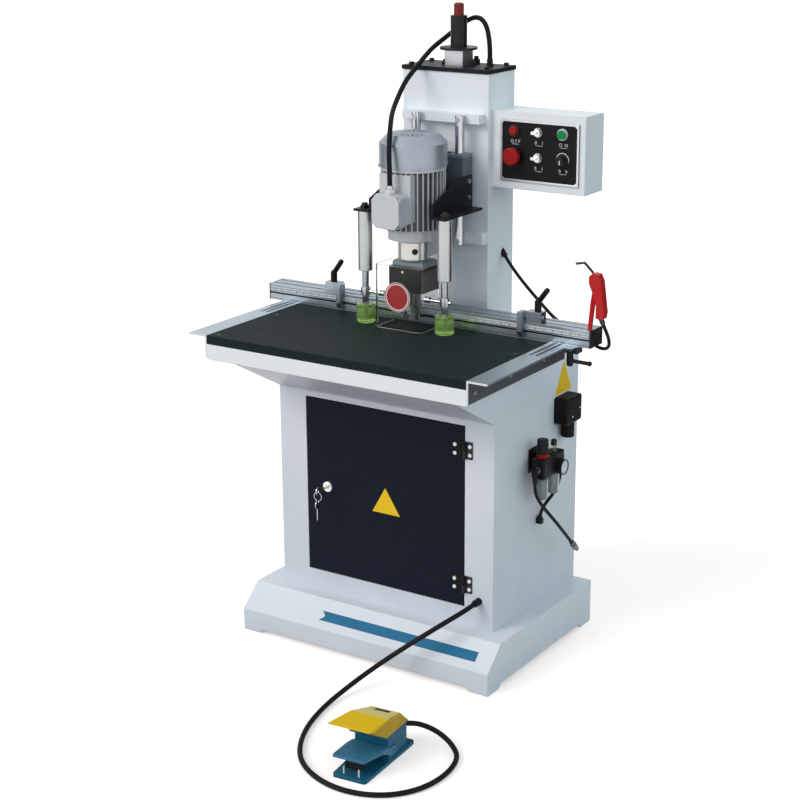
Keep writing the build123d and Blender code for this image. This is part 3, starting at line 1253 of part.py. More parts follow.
# Panel with a stem hole for each control
def control_panel():
    half_x = PANEL_WIDTH / 2
    half_z = PANEL_HEIGHT / 2
    front = BOX_FRONT - PANEL_SHEET
    panel = box(PANEL_X - half_x, PANEL_X + half_x, front, BOX_FRONT, PANEL_Z - half_z, PANEL_Z + half_z)
    for x, z in control_places().values():
        panel -= rod_y(x, z, front - 1, BOX_FRONT + 1, STEM_HOLE)
    save("control_panel", panel)


# Panel trim: the bright frame with its screws, and the collar of each control
def panel_trim():
    half_x = PANEL_WIDTH / 2
    half_z = PANEL_HEIGHT / 2
    front = BOX_FRONT - PANEL_SHEET
    frame = box(PANEL_X - half_x, PANEL_X + half_x, front - 2, front, PANEL_Z - half_z, PANEL_Z + half_z)
    inner_x = half_x - BEZEL_WIDTH
    inner_z = half_z - BEZEL_WIDTH
    frame -= Pos(PANEL_X, front - 1, PANEL_Z) * Box(2 * inner_x, 4, 2 * inner_z)
    for side_x in (-1, 1):
        for side_z in (-1, 1):
            x = PANEL_X + side_x * (half_x - BEZEL_WIDTH)
            z = PANEL_Z + side_z * (half_z - BEZEL_WIDTH)
            frame += rod_y(x, z, front - 3.5, front, PANEL_SCREW_RADIUS)
    pieces = [frame]
    for node, (x, z) in control_places().items():
        cap = SELECTOR_RADIUS if node.startswith("selector") else BUTTON_RADIUS
        ring = rod_y(x, z, front - COLLAR_RING, front, cap + RING_LIP)
        pieces.append(ring - rod_y(x, z, front - COLLAR_RING - 1, front + 1, STEM_HOLE))
    save("panel_trim", *pieces)


# Controls: each has a stem through its collar and the panel
def control_stem(x, z, start):
    """Stem of a control, with the contact plate behind the panel."""
    stem = rod_y(x, z, start, BOX_FRONT + 8, STEM_HOLE - FIT)
    return stem + rod_y(x, z, BOX_FRONT + 8, BOX_FRONT + 11, STEM_HOLE + 2)


def controls():
    places = control_places()
    face = BOX_FRONT - PANEL_SHEET - COLLAR_RING
    x, z = places["indicator_lamp"]
    lens = rod_y(x, z, face - 7, face, BUTTON_RADIUS)
    lens = fillet(lens.edges().group_by(Axis.Y)[0], 3)
    save("indicator_lamp", lens + control_stem(x, z, face))
    x, z = places["start_button"]
    push = rod_y(x, z, face - BUTTON_TRAVEL - 3, face - BUTTON_TRAVEL - LOOSE, BUTTON_RADIUS)
    save("start_button", push + control_stem(x, z, face - BUTTON_TRAVEL - 1))
    x, z = places["estop"]
    head_back = face - ESTOP_TRAVEL - LOOSE
    mushroom = rod_y(x, z, head_back - 14, head_back, ESTOP_RADIUS)
    mushroom = fillet(mushroom.edges().group_by(Axis.Y)[0], 4)
    save("estop", mushroom + control_stem(x, z, head_back - 1))
    for node in ("selector_upper", "selector_lower"):
        x, z = places[node]
        knob = rod_y(x, z, face - 6, face - LOOSE, SELECTOR_RADIUS + 1)
        handle = box(x - SELECTOR_RADIUS - 4, x + 4, face - 15, face - 5, z - 4, z + 4)
        knob += rounded(handle, Axis.Y, 3)
        save(node, knob + control_stem(x, z, face - 1))
    x, z = places["timer_knob"]
    knob = rod_y(x, z, face - 12, face - LOOSE, BUTTON_RADIUS)
    knob += rod_y(x, z, face - 3, face - LOOSE, BUTTON_RADIUS + 3)
    save("timer_knob", knob + control_stem(x, z, face - 1))


# Inlet box on the right wall, with its round connector pointing down
def inlet_box():
    y0, y1 = INLET_Y, INLET_Y + INLET_WIDTH
    z0, z1 = INLET_Z, INLET_Z + INLET_HEIGHT
    outer = WALL + INLET_DEPTH
    case = rounded(box(WALL, outer, y0, y1, z0, z1), Axis.X, INLET_ROUND)
    case = fillet(case.edges().group_by(Axis.X)[-1], INLET_ROUND * 0.6)
    case -= box(WALL - 1, outer - 8, y0 + 8, y1 - 8, z0 + 8, z1 - 8)
    middle = (y0 + y1) / 2
    socket_x = WALL + INLET_DEPTH / 2
    socket = rod_z(socket_x, middle, z0 - SOCKET_LENGTH, z0, SOCKET_RADIUS)
    socket = fillet(socket.edges().group_by(Axis.Z)[0], 2)
    socket -= rod_z(socket_x, middle, z0 - SOCKET_LENGTH - 1, z0 - 8, SOCKET_RADIUS - 3)
    screws = [rod_x(y, z0 + rise, outer, outer + 1.5, 3) for y, rise in ((y0 + 32, 20), (y1 - 12, 36))]
    save("inlet_box", case, socket, *screws)


# Air service unit: regulator and lubricator on a bracket on the right wall
def air_unit():
    half = UNIT_WIDTH / 2
    x0 = UNIT_X - UNIT_DEPTH / 2
    x1 = UNIT_X + UNIT_DEPTH / 2
    top = UNIT_Z + UNIT_HEIGHT
    body = rounded(box(x0, x1, UNIT_Y - half, UNIT_Y + half, UNIT_Z, top), Axis.Z, 6)
    split = box(x0 - 1, x1 + 1, UNIT_Y - 2, UNIT_Y + 2, UNIT_Z + 34, top + 1)
    body -= split
    bracket = box(WALL, x0, UNIT_Y - 14, UNIT_Y + 14, UNIT_Z + 8, top - 8)
    bracket += box(WALL, WALL + 4, UNIT_Y - 34, UNIT_Y + 34, UNIT_Z + 2, top + 14)
    regulator_y = UNIT_Y - UNIT_PITCH / 2
    lubricator_y = UNIT_Y + UNIT_PITCH / 2
    collar = rod_z(UNIT_X, regulator_y, top, top + 10, KNOB_RADIUS + 1)
    stem = rod_z(UNIT_X, regulator_y, top + 10, top + KNOB_HEIGHT - 20, 6)
    inlet = rod_y(UNIT_X, UNIT_Z + 22, UNIT_Y - half - FITTING, UNIT_Y - half, 9)
    outlet = rod_y(UNIT_X, UNIT_Z + 22, UNIT_Y + half, UNIT_Y + half + FITTING, 9)
    gauge_z = UNIT_Z + GAUGE_RISE
    boss = rod_x(lubricator_y, gauge_z, x1, x1 + 3, 6)
    save("frl_body", body, bracket, collar + stem, inlet, outlet, boss)
    bowls = []
    for y in (regulator_y, lubricator_y):
        bowl = rod_z(UNIT_X, y, UNIT_Z - BOWL_LENGTH, UNIT_Z, BOWL_RADIUS)
        bowl = fillet(bowl.edges().group_by(Axis.Z)[0], 7)
        bowl -= rod_z(UNIT_X, y, UNIT_Z - BOWL_LENGTH + 3, UNIT_Z - 8, BOWL_RADIUS - 3)
        bowls.append(bowl)
    dome = rod_z(UNIT_X, lubricator_y, top, top + DOME_HEIGHT, 8)
    bowls.append(fillet(dome.edges().group_by(Axis.Z)[-1], 6))
    save("frl_bowls", *bowls)
    gauge = rod_x(lubricator_y, gauge_z, x1 + 3, x1 + 15, GAUGE_RADIUS)
    gauge -= rod_x(lubricator_y, gauge_z, x1 + 13, x1 + 16, GAUGE_RADIUS - 2)
    save("pressure_gauge", gauge)
    knob = rod_z(UNIT_X, regulator_y, top + 10 + LOOSE, top + KNOB_HEIGHT, KNOB_RADIUS)
    knob = chamfer(knob.edges().group_by(Axis.Z)[-1], 2)
    knob -= rod_z(UNIT_X, regulator_y, top + 9, top + KNOB_HEIGHT - 20 + LOOSE, 6 + FIT)
    save("regulator_knob", knob)


# Pedal: a base with its housing, a treadle on side pins and a hood over it
def on_pedal(solid):
    """Place a solid from the pedal's own frame on the floor."""
    return Pos(PEDAL_X, PEDAL_Y, 0) * Rot(0, 0, PEDAL_TURN) * solid


def pedal_base():
    half = PEDAL_WIDTH / 2
    front = -PEDAL_LENGTH / 2
    nose = half - 8
    shoulder = HOUSING_FRONT + HOUSING_LENGTH
    outline = [(-nose, front), (nose, front), (half, shoulder)]
    outline += [(half, -front), (-half, -front), (-half, shoulder)]
    base = rounded(prism_xy(outline, 0, PEDAL_PLATE), Axis.Z, 8)
    side = HOUSING_WIDTH / 2
    y1 = shoulder
    top = PEDAL_PLATE + HOUSING_HEIGHT
    housing = box(-side, side, HOUSING_FRONT, y1, PEDAL_PLATE, top)
    housing -= box(4 - side, side - 4, HOUSING_FRONT + 4, y1 - 4, PEDAL_PLATE - 1, top - 4)
    housing += box(-HOOD_WIDTH / 2, HOOD_WIDTH / 2, HOOD_FRONT, y1, top - 4, top)
    for turn in (-1, 1):
        x0, x1 = sorted((turn * (side - 2), turn * (side + LOOSE + 4)))
        housing += rod_x(TREADLE_PIVOT_Y, TREADLE_PIVOT_Z, x0, x1, TREADLE_PIN)
    posts = [rod_z(x, front + 14, PEDAL_PLATE, PEDAL_PLATE + POST_HEIGHT, 2) for x in (-20, 20)]
    save("pedal_base", *[on_pedal(piece) for piece in (base, housing, *posts)])


def pedal_treadle():
    side = HOUSING_WIDTH / 2 + LOOSE
    half = side + TREADLE_WALL
    nose = TREADLE_NOSE_WIDTH / 2
    front = -PEDAL_LENGTH / 2
    back = HOUSING_FRONT - 4

    def under(y, depth):
        """Height at a depth below the sloped tread."""
        return TREADLE_TOP + (TREADLE_NOSE_TOP - TREADLE_TOP) * (back - y) / (back - front) - depth

    def slab(y0, y1, inset, top, bottom):
        """Slice of the tread between two depths, drawn in by a wall thickness."""
        edge = half - inset
        outline = [(inset - nose, y0), (nose - inset, y0), (edge, TREADLE_SHOULDER), (edge, y1)]
        outline += [(-edge, y1), (-edge, TREADLE_SHOULDER)]
        slope = [(y0, under(y0, top)), (y0, under(y0, bottom)), (y1, under(y1, bottom)), (y1, under(y1, top))]
        return prism_xy(outline, 0, TREADLE_NOSE_TOP + 1) & prism_yz(slope, -half, half)

    plate = slab(front, back, 0, 0, TREADLE_RIM)
    plate -= slab(front + TREADLE_WALL, back + 1, TREADLE_WALL, TREADLE_SHEET, TREADLE_RIM + 1)
    cheek = [
        (TREADLE_SHOULDER, under(TREADLE_SHOULDER, TREADLE_SHEET)),
        (TREADLE_SHOULDER, under(TREADLE_SHOULDER, TREADLE_RIM)),
        (TREADLE_PIVOT_Y - 10, TREADLE_PIVOT_Z - 9),
        (TREADLE_PIVOT_Y + 10, TREADLE_PIVOT_Z - 9),
        (TREADLE_PIVOT_Y + 10, TREADLE_PIVOT_Z + 9),
        (back, under(back, TREADLE_SHEET)),
    ]
    for turn in (-1, 1):
        x0, x1 = sorted((turn * side, turn * half))
        plate += prism_yz(cheek, x0, x1)
    plate -= rod_x(TREADLE_PIVOT_Y, TREADLE_PIVOT_Z, -half - 10, half + 10, TREADLE_PIN + FIT)
    y0 = front + 20
    y1 = front + 42
    stop = [(y0, TREADLE_BLOCK_LOW), (y1, TREADLE_BLOCK_LOW)]
    stop += [(y1, under(y1, TREADLE_SHEET)), (y0, under(y0, TREADLE_SHEET))]
    block = prism_yz(stop, -TREADLE_BLOCK_WIDTH / 2, TREADLE_BLOCK_WIDTH / 2)
    save("pedal_treadle", on_pedal(plate), on_pedal(block))


def pedal_hood():
    half = HOOD_WIDTH / 2
    low = PEDAL_PLATE + HOUSING_HEIGHT
    top = low + HOOD_HEIGHT
    shell = hood_block(low, 0) - hood_block(low - 1, HOOD_SHEET)
    reach = VISOR_TIP - VISOR_BACK
    flare = half + VISOR_FLARE
    visor = prism_xy([(-half, 0), (half, 0), (flare, reach), (-flare, reach)], -HOOD_SHEET, 0)
    shell += Pos(0, VISOR_BACK, top) * Rot(VISOR_TURN, 0, 0) * visor
    tip = VISOR_TIP + 6
    tip_z = top + (tip - VISOR_BACK) * math.tan(math.radians(VISOR_TURN)) - 1
    cheek = [(VISOR_BACK, top - 1), (tip, tip_z), (HOOD_FRONT, low), (HOOD_FRONT + 12, low)]
    for turn in (-1, 1):
        x0, x1 = sorted((turn * half, turn * (half - HOOD_SHEET)))
        shell += prism_yz(cheek, x0, x1)
    shell -= box(-19, 19, 48, 54, top - CROWN_FALL - 4, top)
    save("pedal_hood", on_pedal(shell))


def hood_block(low, inset):
    """Hood from its foot to a crown that falls towards the back, drawn in by a wall thickness."""
    y0 = HOOD_FRONT + inset
    y1 = HOUSING_FRONT + HOUSING_LENGTH - inset
    half = HOOD_WIDTH / 2 - inset
    high = PEDAL_PLATE + HOUSING_HEIGHT + HOOD_HEIGHT - inset
    front = CROWN_FRONT_WIDTH / 2 - inset
    back = CROWN_BACK_WIDTH / 2 - inset
    foot = four_sided(half, half, y0, y1, low, low)
    crown = four_sided(front, back, VISOR_BACK + inset, CROWN_BACK - inset, high, high - CROWN_FALL)
    return loft([foot, crown], ruled=True)


def four_sided(front, back, y0, y1, z0, z1):
    """Face between a front and a back edge, each with its own half width and height."""
    points = [(-front, y0, z0), (front, y0, z0), (back, y1, z1), (-back, y1, z1)]
    return make_face(Polyline(*points, close=True))


# Glands and elbows where cords and hoses meet the machine
def gland_on(points, length, radius):
    """Sleeve behind the first point of a route, in line with its first run."""
    end = Vector(*points[0])
    along = (Vector(*points[1]) - end).normalized()
    return bar(end - along * length, end, radius)


def hose_glands():
    top = COLUMN_TOP + TOP_PLATE
    cable = rod_z(CABLE_GLAND_X, CABLE_GLAND_Y, top, top + 4, CORD_RADIUS + 3.5)
    cable += rod_z(CABLE_GLAND_X, CABLE_GLAND_Y, top + 4, top + GLAND_LENGTH, CORD_RADIUS + 1.5)
    port = hexagon(*PLATE_PORT, top, top + 12, 20) + rod_z(*PLATE_PORT, top + 12, top + 20, 6)
    pedal_exit = gland_on(PEDAL_CORD[::-1], GLAND_LENGTH + 20, CORD_RADIUS + 3)
    pedal_exit -= box(0, WALL, CABINET_FRONT, CABINET_BACK, PLINTH_HEIGHT, DECK)
    side = COLUMN_WIDTH / 2
    gun = gland_on(GUN_HOSE, GUN_GLAND + 20, HOSE_RADIUS + 3)
    gun -= box(0, side, COLUMN_FRONT, COLUMN_BACK, DECK, COLUMN_TOP)
    elbows = []
    for y, turn in ((UNIT_Y - UNIT_WIDTH / 2 - FITTING, -1), (UNIT_Y + UNIT_WIDTH / 2 + FITTING, 1)):
        y0, y1 = sorted((y, y + turn * 14))
        elbow = box(UNIT_X - 7, UNIT_X + 7, y0, y1, UNIT_Z + 12, UNIT_Z + 30)
        elbow += rod_z(UNIT_X, y + turn * 7, UNIT_Z - ELBOW_DROP, UNIT_Z + 12, HOSE_RADIUS + 2)
        elbows.append(elbow)
    wall = box(WALL, WALL + 16, OUTLET_Y - 7, OUTLET_Y + 7, OUTLET_Z - 7, OUTLET_Z + 8)
    sleeve = gland_on(OUTLET_HOSE[::-1], 20, HOSE_RADIUS + 2)
    sleeve -= box(WALL - 20, WALL + 40, OUTLET_Y - 30, OUTLET_Y + 30, OUTLET_Z - 30, OUTLET_Z + 8)
    boot = gland_on(PEDAL_CORD, 50, CORD_RADIUS + 3)
    half = PEDAL_WIDTH / 2
    back = HOUSING_FRONT + HOUSING_LENGTH
    boot -= on_pedal(box(-half, half, HOUSING_FRONT, back, 0, PEDAL_PLATE + HOUSING_HEIGHT))
    save("hose_glands", cable, port, pedal_exit, gun, *elbows, wall + sleeve, boot)


# Cord and hose routes, from one fitting to the other
MOTOR_CABLE = [
    (85, 224, 1536.4),
    (85, 224, 1566),
    (80, 225, 1598),
    (70, 229, 1622),
    (53, 235, 1637),
    (30, 243, 1640),
    (5, 250, 1632),
    (-19, 254, 1618),
    (-42, 252, 1601),
    (-61, 244, 1585),
    (-73, 228, 1571),
    (-78, 206, 1560),
    (-77, 180, 1549),
    (-74, 150, 1536),
    (-71, 121, 1522),
    (-74, 96, 1505),
    (-76, 72, 1488),
    (-75, 48, 1468),
    (-70, 24, 1451),
    (-63, -4, 1432),
    (-49, -38, 1415),
    (-29, -74, 1397),
    (-13, -104, 1367),
    (-4, -121, 1327),
    (0, -124, 1288),
    (0, -124, 1250),
]
PEDAL_CORD = [
    (333, -597, 48),
    (354, -575, 47),
    (382, -562, 41),
    (413, -556, 31),
    (443, -558, 18),
    (469, -571, 9),
    (491, -594, 7),
    (506, -627, 7),
    (514, -667, 7),
    (515, -711, 7),
    (507, -757, 7),
    (488, -799, 7),
    (458, -834, 7),
    (418, -859, 7),
    (371, -872, 7),
    (321, -872, 7),
    (271, -859, 7),
    (225, -836, 7),
    (184, -803, 7),
    (151, -760, 7),
    (124, -711, 7),
    (102, -655, 7),
    (86, -594, 7),
    (76, -530, 8),
    (77, -465, 15),
    (93, -404, 34),
    (126, -357, 64),
    (170, -324, 101),
    (215, -298, 137),
    (254, -264, 167),
    (284, -223, 189),
    (290, -181, 195),
]
SUPPLY_HOSE = [
    (375, -23, 495),
    (375, -23, 474),
    (380, -16, 450),
    (388, 0, 424),
    (396, 24, 396),
    (401, 52, 366),
    (403, 82, 336),
    (403, 111, 308),
    (403, 134, 286),
]
OUTLET_HOSE = [
    (375, 115, 495),
    (375, 115, 475),
    (372, 107, 450),
    (365, 95, 427),
    (355, 80, 408),
    (347, 69, 390),
    (344, 65, 372),
]
GUN_HOSE = [
    (141, 217, 1022),
    (154, 211, 1010),
    (176, 201, 993),
    (207, 189, 970),
    (243, 175, 947),
    (279, 159, 927),
    (315, 139, 910),
    (352, 119, 895),
    (388, 107, 886),
    (418, 101, 879),
    (446, 95, 869),
    (474, 84, 859),
    (503, 70, 853),
    (527, 58, 857),
    (541, 47, 870),
    (544, 37, 891),
    (540, 29, 911),
    (533, 25, 930),
]


def cord(node, points, radius):
    """Round tube through the points, each corner an arc as large as its two runs allow."""
    corners = [Vector(*point) for point in points]
    radii = []
    for before, here, after in zip(corners, corners[1:], corners[2:]):
        turn = (here - before).get_angle(after - here)
        shorter = min((here - before).length, (after - here).length)
        radii.append(0.45 * shorter / math.tan(math.radians(turn) / 2))
    print(node, "radii", [round(radius) for radius in radii])
    path = FilletPolyline(*corners, radius=radii)
    section = Plane(origin=path @ 0, z_dir=path % 0) * Circle(radius)
    tube = sweep(section, path=path)
    plain = math.pi * radius**2 * path.length
    print(f"{node}: length {path.length:.0f}, volume ratio {tube.volume / plain:.4f}")
    save(node, tube)


# Coupler on the free end of the supply hose
def supply_coupler():
    end = Vector(*SUPPLY_HOSE[-1])
    along = (end - Vector(*SUPPLY_HOSE[-2])).normalized()
    nipple = bar(end, end + along * 12, HOSE_RADIUS + 2)
    sleeve = bar(end + along * 12, end + along * 34, HOSE_RADIUS + 4)
    plug = bar(end + along * 34, end + along * 46, HOSE_RADIUS + 1)
    save("supply_coupler", nipple + sleeve + plug)


plinth()
cabinet()
door()
door_key()
table()
side_rails()
fence()
fence_lever()
stop("stop_left", LEFT_STOP_X, -1)
stop("stop_right", RIGHT_STOP_X, 1)
stop_lever("stop_lever_left", LEFT_STOP_X, -1)
stop_lever("stop_lever_right", RIGHT_STOP_X, 1)
blow_gun()
gun_lever()
column()
column_top_plate()
guide_rods()
frame_bolts()
feed_cylinder()
depth_adjuster()
carriage()
head_bracket()
motor_housing()
fan_cowl()
terminal_box()
rotor()
hinge_bit()
side_spindle("side_spindle_left", -1)
side_spindle("side_spindle_right", 1)
gearbox()
spindle_collar()
hold_down_barrels()
hold_down_rods()
hold_down_feet()
drill_guard()
control_box()
control_panel()
panel_trim()
controls()
inlet_box()
air_unit()
pedal_base()
pedal_treadle()
pedal_hood()
hose_glands()
cord("motor_cable", MOTOR_CABLE, CORD_RADIUS)
cord("pedal_cord", PEDAL_CORD, CORD_RADIUS)
cord("supply_hose", SUPPLY_HOSE, HOSE_RADIUS)
cord("outlet_hose", OUTLET_HOSE, HOSE_RADIUS)
cord("gun_hose", GUN_HOSE, HOSE_RADIUS)
supply_coupler()
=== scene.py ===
import bmesh
import bpy
import math
from mathutils import Matrix, Vector


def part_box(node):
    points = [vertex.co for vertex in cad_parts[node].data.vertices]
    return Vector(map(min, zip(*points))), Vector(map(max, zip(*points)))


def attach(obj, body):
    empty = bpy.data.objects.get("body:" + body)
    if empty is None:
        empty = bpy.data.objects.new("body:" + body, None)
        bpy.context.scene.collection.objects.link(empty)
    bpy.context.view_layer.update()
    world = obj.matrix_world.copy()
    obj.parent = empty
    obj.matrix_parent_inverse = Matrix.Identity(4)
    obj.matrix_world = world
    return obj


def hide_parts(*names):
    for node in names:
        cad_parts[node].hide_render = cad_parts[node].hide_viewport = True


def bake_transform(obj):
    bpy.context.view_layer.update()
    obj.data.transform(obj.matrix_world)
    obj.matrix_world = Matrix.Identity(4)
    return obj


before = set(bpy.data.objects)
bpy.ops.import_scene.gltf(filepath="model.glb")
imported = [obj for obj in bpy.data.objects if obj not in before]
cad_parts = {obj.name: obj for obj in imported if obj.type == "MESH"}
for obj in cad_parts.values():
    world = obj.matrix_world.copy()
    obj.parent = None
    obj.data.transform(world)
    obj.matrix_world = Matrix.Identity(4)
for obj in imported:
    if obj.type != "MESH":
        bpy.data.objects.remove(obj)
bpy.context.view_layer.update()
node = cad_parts


# Viewpoint: a long lens held at head height off the machine's right front corner,
# tipped down so that the table top and the pedal on the floor both show.
lens = bpy.data.cameras.new("viewpoint")
lens.sensor_width = 36.0
lens.lens = 79.57
lens.clip_end = 300.0
viewpoint = bpy.data.objects.new("viewpoint", lens)
bpy.context.scene.collection.objects.link(viewpoint)
LENS_PLACE = (2.4430, -3.8011, 2.0432)
LENS_HEADING = 33.309
LENS_DOWN = 17.106
LENS_ROLL = -0.374
heading = Matrix.Rotation(math.radians(LENS_HEADING), 4, "Z")
tip = Matrix.Rotation(math.radians(90 - LENS_DOWN), 4, "X")
roll = Matrix.Rotation(math.radians(LENS_ROLL), 4, "Z")
viewpoint.matrix_world = Matrix.Translation(LENS_PLACE) @ heading @ tip @ roll
bpy.context.scene.camera = viewpoint
bpy.context.scene.view_settings.view_transform = "Standard"


# Studio floor: a seamless pale sheet that keeps the contact shadow,
# and shows white to the lens, to bright metal and through clear plastic.
def put(tree, value, socket):
    """Links a socket to another one, or sets it to a plain value."""
    if hasattr(value, "is_linked"):
        tree.links.new(value, socket)
    elif isinstance(value, tuple):
        socket.default_value = (*value, 1)
    else:
        socket.default_value = value


def sums(tree, operation, first, second):
    """One step of arithmetic."""
    step = tree.nodes.new("ShaderNodeMath")
    step.operation = operation
    put(tree, first, step.inputs[0])
    put(tree, second, step.inputs[1])
    return step.outputs[0]


def lay_over(tree, share, under, over):
    """Two colours mixed by a share of the second."""
    mix = tree.nodes.new("ShaderNodeMix")
    mix.data_type = "RGBA"
    put(tree, share, mix.inputs[0])
    put(tree, under, mix.inputs[6])
    put(tree, over, mix.inputs[7])
    return mix.outputs[2]


def rays_seen(tree):
    """One for rays that come from the lens, a reflection or a clear piece."""
    rays = tree.nodes.new("ShaderNodeLightPath")
    total = rays.outputs["Is Camera Ray"]
    for kind in ("Is Glossy Ray", "Is Transmission Ray"):
        total = sums(tree, "MAXIMUM", total, rays.outputs[kind])
    return total


def stand(name, source, coat):
    """A finished mesh in the scene, with its one coat."""
    mesh = bpy.data.meshes.new(name)
    source.to_mesh(mesh)
    source.free()
    mesh.materials.append(coat)
    made = bpy.data.objects.new(name, mesh)
    bpy.context.scene.collection.objects.link(made)
    return made


FLOOR_BOUNCE = (0.24, 0.24, 0.24)
FLOOR_SEEN = (1.0, 0.89, 0.865)
FLOOR_GLOW = 0.40
FLOOR_DROP = 0.0005
seamless = bpy.data.materials.new("seamless_white")
seamless.use_nodes = True
tree = seamless.node_tree
tree.nodes.clear()
seen = rays_seen(tree)
matt = tree.nodes.new("ShaderNodeBsdfDiffuse")
put(tree, lay_over(tree, seen, FLOOR_BOUNCE, FLOOR_SEEN), matt.inputs["Color"])
glow = tree.nodes.new("ShaderNodeEmission")
put(tree, sums(tree, "MULTIPLY", seen, FLOOR_GLOW), glow.inputs["Strength"])
both = tree.nodes.new("ShaderNodeAddShader")
tree.links.new(matt.outputs[0], both.inputs[0])
tree.links.new(glow.outputs[0], both.inputs[1])
end = tree.nodes.new("ShaderNodeOutputMaterial")
tree.links.new(both.outputs[0], end.inputs["Surface"])
ground = bmesh.new()
bmesh.ops.create_circle(ground, cap_ends=True, segments=96, radius=120.0)
floor = stand("studio_floor", ground, seamless)
floor.location.z = -FLOOR_DROP


# Studio light: a slightly cool surround that is dimmer overhead, a broad lamp from the front left,
# a weak cool fill from the right, and two dark upright flags at the sides that only reflections see,
# so that bright metal has an edge.
def remap(tree, source, low, high, start=0.3, stop=0.7):
    """A value carried from one span to another, and held at its ends."""
    span = tree.nodes.new("ShaderNodeMapRange")
    span.inputs["From Min"].default_value = start
    span.inputs["From Max"].default_value = stop
    span.inputs["To Min"].default_value = low
    span.inputs["To Max"].default_value = high
    tree.links.new(source, span.inputs["Value"])
    return span.outputs["Result"]


def lay_value(tree, share, under, over):
    """Two values mixed by a share of the second."""
    mix = tree.nodes.new("ShaderNodeMix")
    put(tree, share, mix.inputs[0])
    put(tree, under, mix.inputs[2])
    put(tree, over, mix.inputs[3])
    return mix.outputs[0]


def along(tree, place):
    """The three measures of a place."""
    axes = tree.nodes.new("ShaderNodeSeparateXYZ")
    tree.links.new(place, axes.inputs[0])
    return axes.outputs


HORIZON_LIGHT = 1.06
OVERHEAD_LIGHT = 0.44
SURROUND_TINT = (0.85, 0.97, 1.0)
WHITE = (1.0, 1.0, 1.0)
surround = bpy.data.worlds.new("surround")
bpy.context.scene.world = surround
surround.use_nodes = True
tree = surround.node_tree
tree.nodes.clear()
seen = rays_seen(tree)
rise = along(tree, tree.nodes.new("ShaderNodeTexCoord").outputs["Generated"])[2]
fade = remap(tree, rise, HORIZON_LIGHT, OVERHEAD_LIGHT, 0.0, 1.0)
air = tree.nodes.new("ShaderNodeBackground")
put(tree, lay_over(tree, seen, SURROUND_TINT, WHITE), air.inputs["Color"])
put(tree, lay_value(tree, seen, fade, 1.0), air.inputs["Strength"])
end = tree.nodes.new("ShaderNodeOutputWorld")
tree.links.new(air.outputs[0], end.inputs["Surface"])

for label, energy, colour, spread, way, shines in (
    ("front_left_lamp", 1.50, (1.0, 0.91, 0.89), 34, (0.42, 0.72, -0.55), True),
    ("right_fill", 0.42, (0.74, 0.95, 1.0), 60, (-0.95, 0.10, -0.22), False),
):
    lamp = bpy.data.lights.new(label, "SUN")
    lamp.energy = energy
    lamp.angle = math.radians(spread)
    lamp.color = colour
    holder = bpy.data.objects.new(label, lamp)
    bpy.context.scene.collection.objects.link(holder)
    holder.rotation_euler = Vector(way).to_track_quat("-Z", "Y").to_euler()
    holder.visible_glossy = shines

FLAG_HEIGHT = 2.6
FLAG_MIDDLE = 1.31
FLAG_DISTANCE = 1.9
UPRIGHT = Matrix.Rotation(math.radians(90), 3, "X")
ORIGIN = (0, 0, 0)
flag_cloth = bpy.data.materials.new("flag_cloth")
flag_cloth.use_nodes = True
shader = flag_cloth.node_tree.nodes["Principled BSDF"]
shader.inputs["Base Color"].default_value = (0.02, 0.022, 0.025, 1)
shader.inputs["Specular IOR Level"].default_value = 0.0
for label, bearing, width in (("right_flag", 47, 2.0), ("left_flag", 186, 1.1)):
    sheet = bmesh.new()
    bmesh.ops.create_grid(sheet, x_segments=1, y_segments=1, size=0.5)
    bmesh.ops.scale(sheet, vec=(width, FLAG_HEIGHT, 1), verts=sheet.verts)
    facing = Matrix.Rotation(math.radians(bearing - 90), 3, "Z")
    bmesh.ops.rotate(sheet, cent=ORIGIN, matrix=facing @ UPRIGHT, verts=sheet.verts)
    away = Vector((math.cos(math.radians(bearing)), math.sin(math.radians(bearing)), 0))
    bmesh.ops.translate(sheet, vec=away * FLAG_DISTANCE + Vector((0, 0, FLAG_MIDDLE)), verts=sheet.verts)
    flag = stand(label, sheet, flag_cloth)
    flag.visible_camera = False
    flag.visible_diffuse = False
    flag.visible_shadow = False
    flag.visible_transmission = False
    flag.visible_volume_scatter = False


# Plinth: one folded steel sheet with a sloped front and cut-out feet, sprayed with a pale grey enamel.
# The spray leaves a faint orange peel and soft folds, and the enamel is painted darker and greyer
# low down, as painted shade towards the floor.
def begin(name, gleam=0.5):
    """A new finish: its shader, its own place on the machine, and how much it gleams."""
    coat = bpy.data.materials.new(name)
    coat.use_nodes = True
    tree = coat.node_tree
    place = tree.nodes.new("ShaderNodeTexCoord").outputs["Object"]
    shader = tree.nodes["Principled BSDF"]
    shader.inputs["Specular IOR Level"].default_value = gleam
    return coat, tree, shader, place


def mottle(tree, place, scale, detail, stretch=(1, 1, 1)):
    """Noise over the surface, drawn out along an axis where asked."""
    turn = tree.nodes.new("ShaderNodeMapping")
    turn.inputs["Scale"].default_value = stretch
    tree.links.new(place, turn.inputs["Vector"])
    noise = tree.nodes.new("ShaderNodeTexNoise")
    noise.inputs["Scale"].default_value = scale
    noise.inputs["Detail"].default_value = detail
    tree.links.new(turn.outputs["Vector"], noise.inputs["Vector"])
    return noise.outputs["Fac"]


def patchy(tree, place, scale, detail, low, high, start=0.3, stop=0.7):
    """A value that wanders between two levels over the surface."""
    return remap(tree, mottle(tree, place, scale, detail), low, high, start, stop)


def shaded(colour, factor, lift=0.0):
    """A colour made darker or lighter."""
    return tuple(min(1, part * factor + lift) for part in colour)


def paint(tree, shader, skin, gloss, metal=0.0):
    """Gives a shader its colour, its roughness and its share of metal."""
    put(tree, skin, shader.inputs["Base Color"])
    put(tree, gloss, shader.inputs["Roughness"])
    put(tree, metal, shader.inputs["Metallic"])


